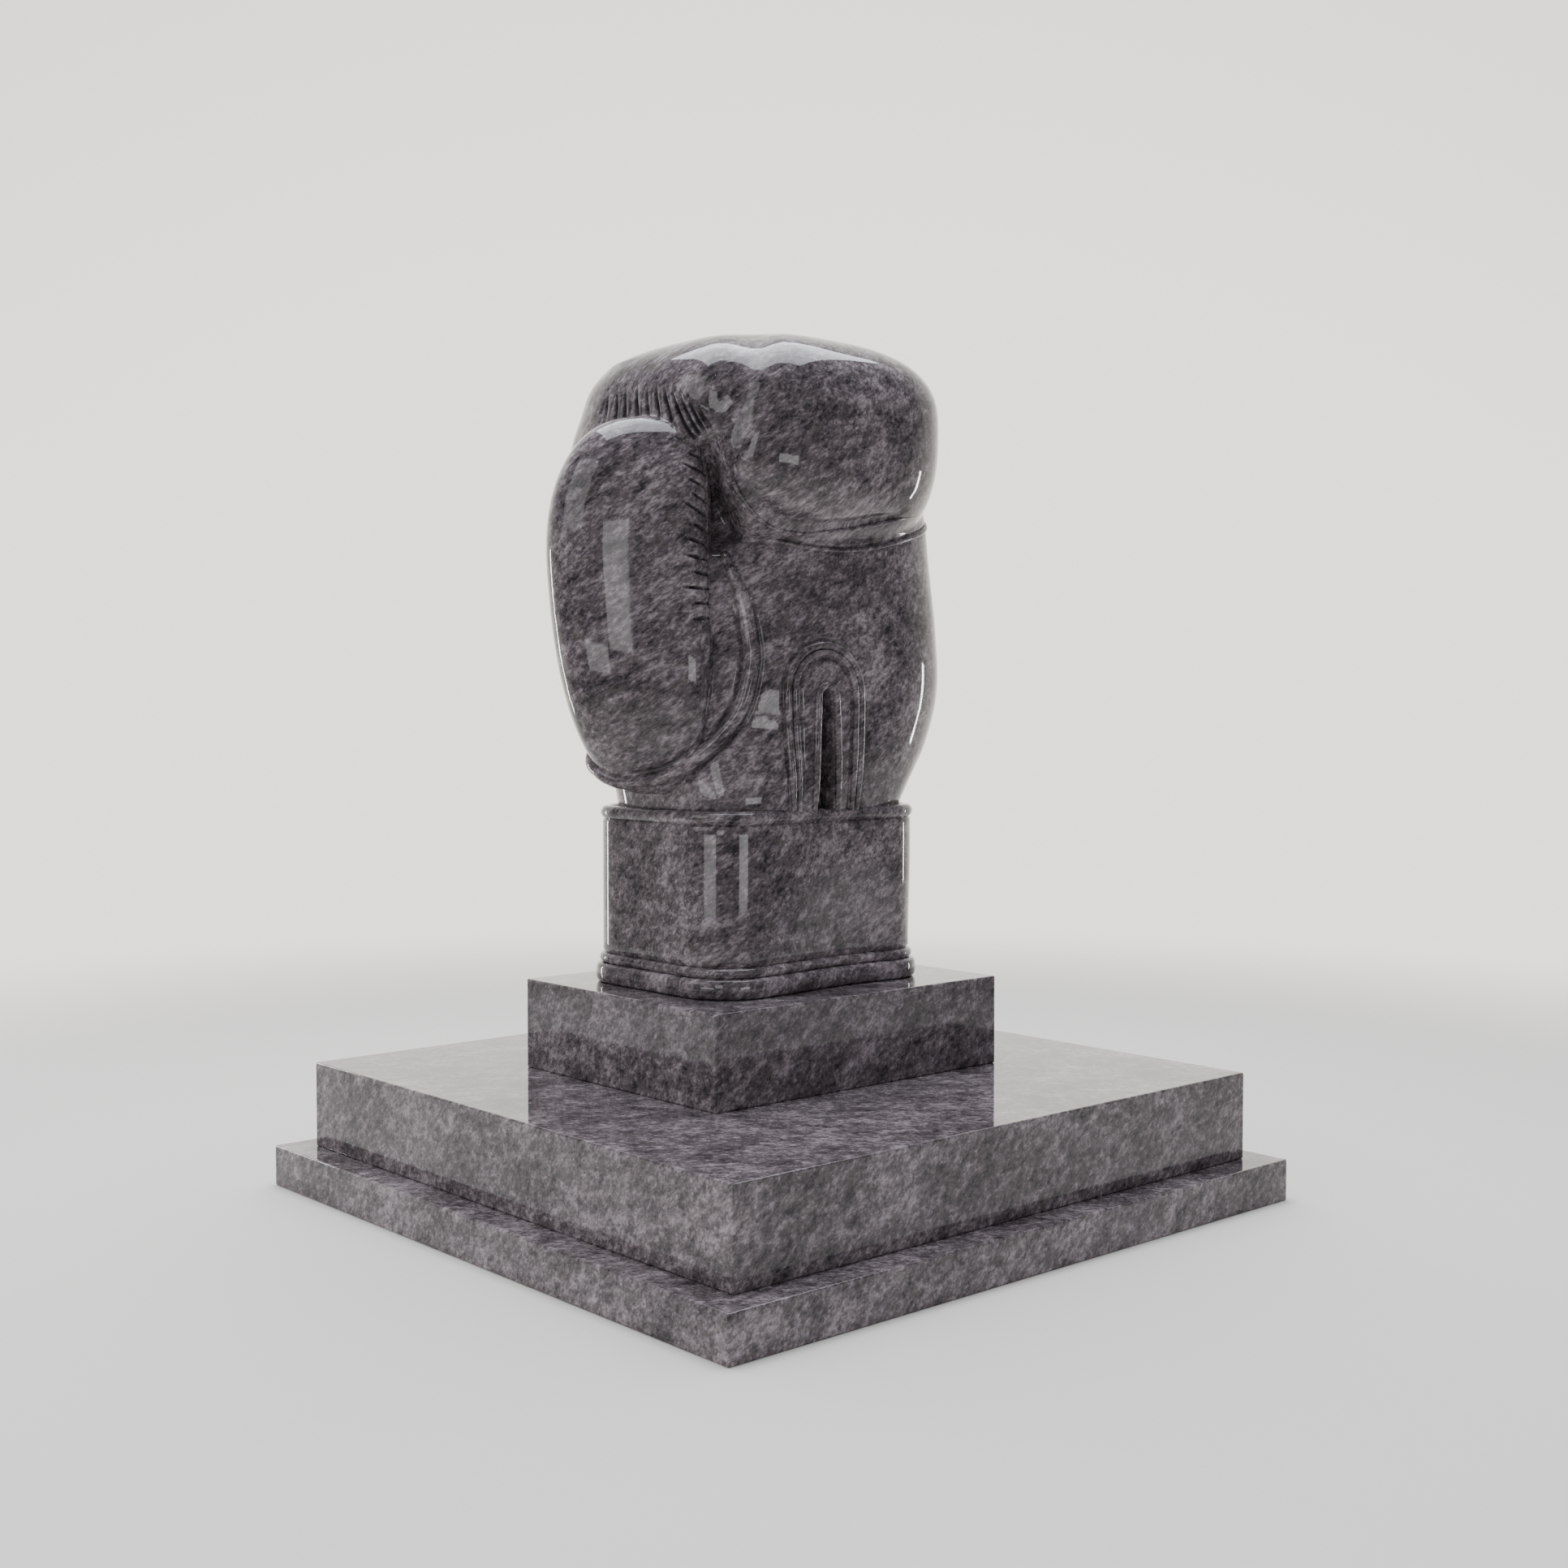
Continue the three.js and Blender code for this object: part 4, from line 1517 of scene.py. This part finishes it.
@dataclass(frozen=True)
class Studio:
    """Pale floor, soft light and the camera, in metres."""

    focal_pixels: float = 2340.80
    frame_pixels: float = 1932.0
    sensor: float = 36.0
    view_end: float = 100.0
    place: Point = (-1.58522, -1.80560, 0.62171)
    pitch: float = 2.3783
    yaw: float = 41.6117
    sky: Colour = (0.88, 0.85, 0.78)
    sky_dim: Colour = (0.10, 0.10, 0.11)
    sky_strength: float = 2.4
    sky_stops: tuple[float, float] = (0.55, 0.94)
    sky_spread: float = 0.5
    sky_drop: float = -0.2
    floor_colour: Colour = (0.70, 0.68, 0.64)
    floor_roughness: float = 0.8
    floor_clear: float = 1.5
    floor_radius: float = 3.0
    floor_sides: int = 96
    lights: tuple[StripLight, ...] = (
        StripLight("top_box", (0.2, 0.25, 3.2), 3.0, 2.4, 210.0, (0.0, 0.0, 0.9), (0.90, 0.95, 1.0)),
        StripLight("left_fill", (-3.8, 1.0, 2.6), 3.0, 2.4, 52.0),
        StripLight("front_box", (-2.74, -1.84, 0.86), 0.8, 1.1, 12.0),
        StripLight("left_strip", (-3.15, -0.67, 0.18), 1.5, 0.34, 6.5, (0.0, 0.0, 0.18)),
        StripLight("right_strip", (-0.35, -3.20, 0.18), 1.1, 0.34, 6.5, (0.0, 0.0, 0.18)),
        StripLight("left_rim", (-0.9, 3.0, 0.45), 0.12, 1.2, 22.0),
        StripLight("right_rim", (3.0, -0.9, 0.35), 0.10, 0.8, 14.0),
    )

    def camera(self) -> None:
        """Set the camera at the picture's viewing angle."""
        lens = bpy.data.cameras.new("camera")
        lens.sensor_width = self.sensor
        lens.lens = self.sensor * self.focal_pixels / self.frame_pixels
        lens.clip_end = self.view_end
        holder = bpy.data.objects.new("camera", lens)
        holder.location = self.place
        holder.rotation_euler = (math.radians(90.0 - self.pitch), 0.0, math.radians(-self.yaw))
        bpy.context.collection.objects.link(holder)
        bpy.context.scene.camera = holder

    def floor(self) -> None:
        """Lay the pale floor, a disc that fades out towards its rim."""
        mesh = bpy.data.meshes.new("floor")
        turns = np.linspace(0.0, 2.0 * math.pi, self.floor_sides, endpoint=False)
        rim = [(self.floor_radius * math.cos(turn), self.floor_radius * math.sin(turn), 0.0) for turn in turns]
        mesh.from_pydata(rim, [], [tuple(range(self.floor_sides))])
        paint = bpy.data.materials.new("floor")
        paint.use_nodes = True
        wiring = Wiring(paint.node_tree)
        out = wiring.step("ShaderNodeVectorMath", "LENGTH", wiring.source("ShaderNodeTexCoord", "Object"))
        fade = wiring.nodes.new("ShaderNodeMapRange")
        fade.interpolation_type = "SMOOTHSTEP"
        wiring.feed(fade, {"Value": out, "From Min": self.floor_radius, "From Max": self.floor_clear})
        wiring.feed(wiring.nodes["Principled BSDF"], {
            "Base Color": (*self.floor_colour, 1.0),
            "Roughness": self.floor_roughness,
            "Alpha": fade.outputs["Result"],
        })
        mesh.materials.append(paint)
        in_scene(mesh)

    def light(self) -> None:
        """Set the sky, bright behind the stone and dim behind the camera, and hang the lights."""
        world = bpy.data.worlds.new("studio")
        world.use_nodes = True
        wiring = Wiring(world.node_tree)
        turn = math.radians(self.yaw)
        ahead = (self.sky_spread * math.sin(turn), self.sky_spread * math.cos(turn), self.sky_drop)
        way = wiring.source("ShaderNodeTexCoord", "Generated")
        facing = wiring.step("ShaderNodeVectorMath", "DOT_PRODUCT", way, ahead)
        ramp = wiring.add("ShaderNodeValToRGB", {"Fac": wiring.math("ADD", facing, 0.5)})
        for stop, spot, tone in zip(ramp.color_ramp.elements, self.sky_stops, (self.sky_dim, self.sky)):
            stop.position = spot
            stop.color = (*tone, 1.0)
        background = wiring.nodes["Background"]
        wiring.feed(background, {"Color": ramp.outputs["Color"], "Strength": self.sky_strength})
        bpy.context.scene.world = world
        for light in self.lights:
            light.build()

    def build(self) -> None:
        """Set up the studio."""
        self.camera()
        self.floor()
        self.light()


@dataclass(frozen=True)
class Headstone:
    """The whole stone: three blocks with the glove on top."""

    slab: Block = Block("foundation_slab", 915, 915, 52, 0)
    base: Block = Block("base", 838, 838, 109, 52)
    plinth: Block = Block("plinth", 466, 378, 113, 161, 21)
    place: Point = (-4.0, 25.0, 274.0)

    def cuff_runs(self, cuff: Cuff) -> list[Run]:
        """Paths of the cuff's lower bead and brim.

        Args:
            cuff: The cuff.

        Returns:
            The closed runs.
        """
        runs = []
        for middle, proud, radius in ((31.0, -1.8, 6.3), (213.5, -6.0, 8.6)):
            runs.append(Run(cuff.ring(proud, middle) + np.array(self.place), radius, True))
        return runs

    def welt_runs(self, glove: Glove) -> list[Run]:
        """Paths of the welts on the palm and the piping round the thumb.

        Args:
            glove: The glove.

        Returns:
            The open runs.
        """
        place = np.array(self.place)
        roll = glove.from_near_corner(glove.knuckles.distance, glove.roll_edge)
        runs = [
            Run(eased(roll) + place, 2.6),
            Run(glove.piping_path() + place, 9.0),
            Run(glove.round_axis(glove.welt_line(0.0)) + place, 2.8),
        ]
        for inset, radius in ((4.0, 5.0), (13.0, 4.4)):
            runs.append(Run(glove.on_palm(glove.lace.arch(inset)) + place, radius))
        runs.append(Run(glove.on_palm(glove.lace.slot_rim(5.5)) + place, 5.0))
        return runs

    def build(self, granite: Granite) -> None:
        """Make every piece, dress it and set it on its body.

        Args:
            granite: The stone's finish.
        """
        stone = granite.material()
        for block in (self.slab, self.base, self.plinth):
            self.keep(block.build(), stone, block.node)
        cuff, glove = Cuff(), Glove()
        self.keep(glove.build(self.place), stone, "glove")
        self.keep(cuff.wall(self.place), stone, None)
        beads = RoundMoulding("cuff_mouldings", self.cuff_runs(cuff), step=5.0, sides=20, taper=0.1)
        welts = RoundMoulding("glove_welts", self.welt_runs(glove), step=4.0, sides=16, taper=0.12)
        for mouldings in (beads, welts):
            self.keep(mouldings.build(stone), stone, None)

    @staticmethod
    def keep(piece: bpy.types.Object, stone: bpy.types.Material, node: str | None) -> None:
        """Dress a piece and set it on its body.

        Args:
            piece: The piece.
            stone: Its material.
            node: The solid it stands for, if any.
        """
        piece.data.materials.clear()
        piece.data.materials.append(stone)
        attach(piece, BODY)
        if node:
            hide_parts(node)
        LOG.info("%s: %d faces", piece.name, len(piece.data.polygons))


def main() -> None:
    """Build the studio and the headstone."""
    logging.basicConfig(level=logging.INFO, format="%(name)s: %(message)s")
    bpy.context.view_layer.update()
    Studio().build()
    Headstone().build(Granite())


if __name__ == "__main__":
    main()
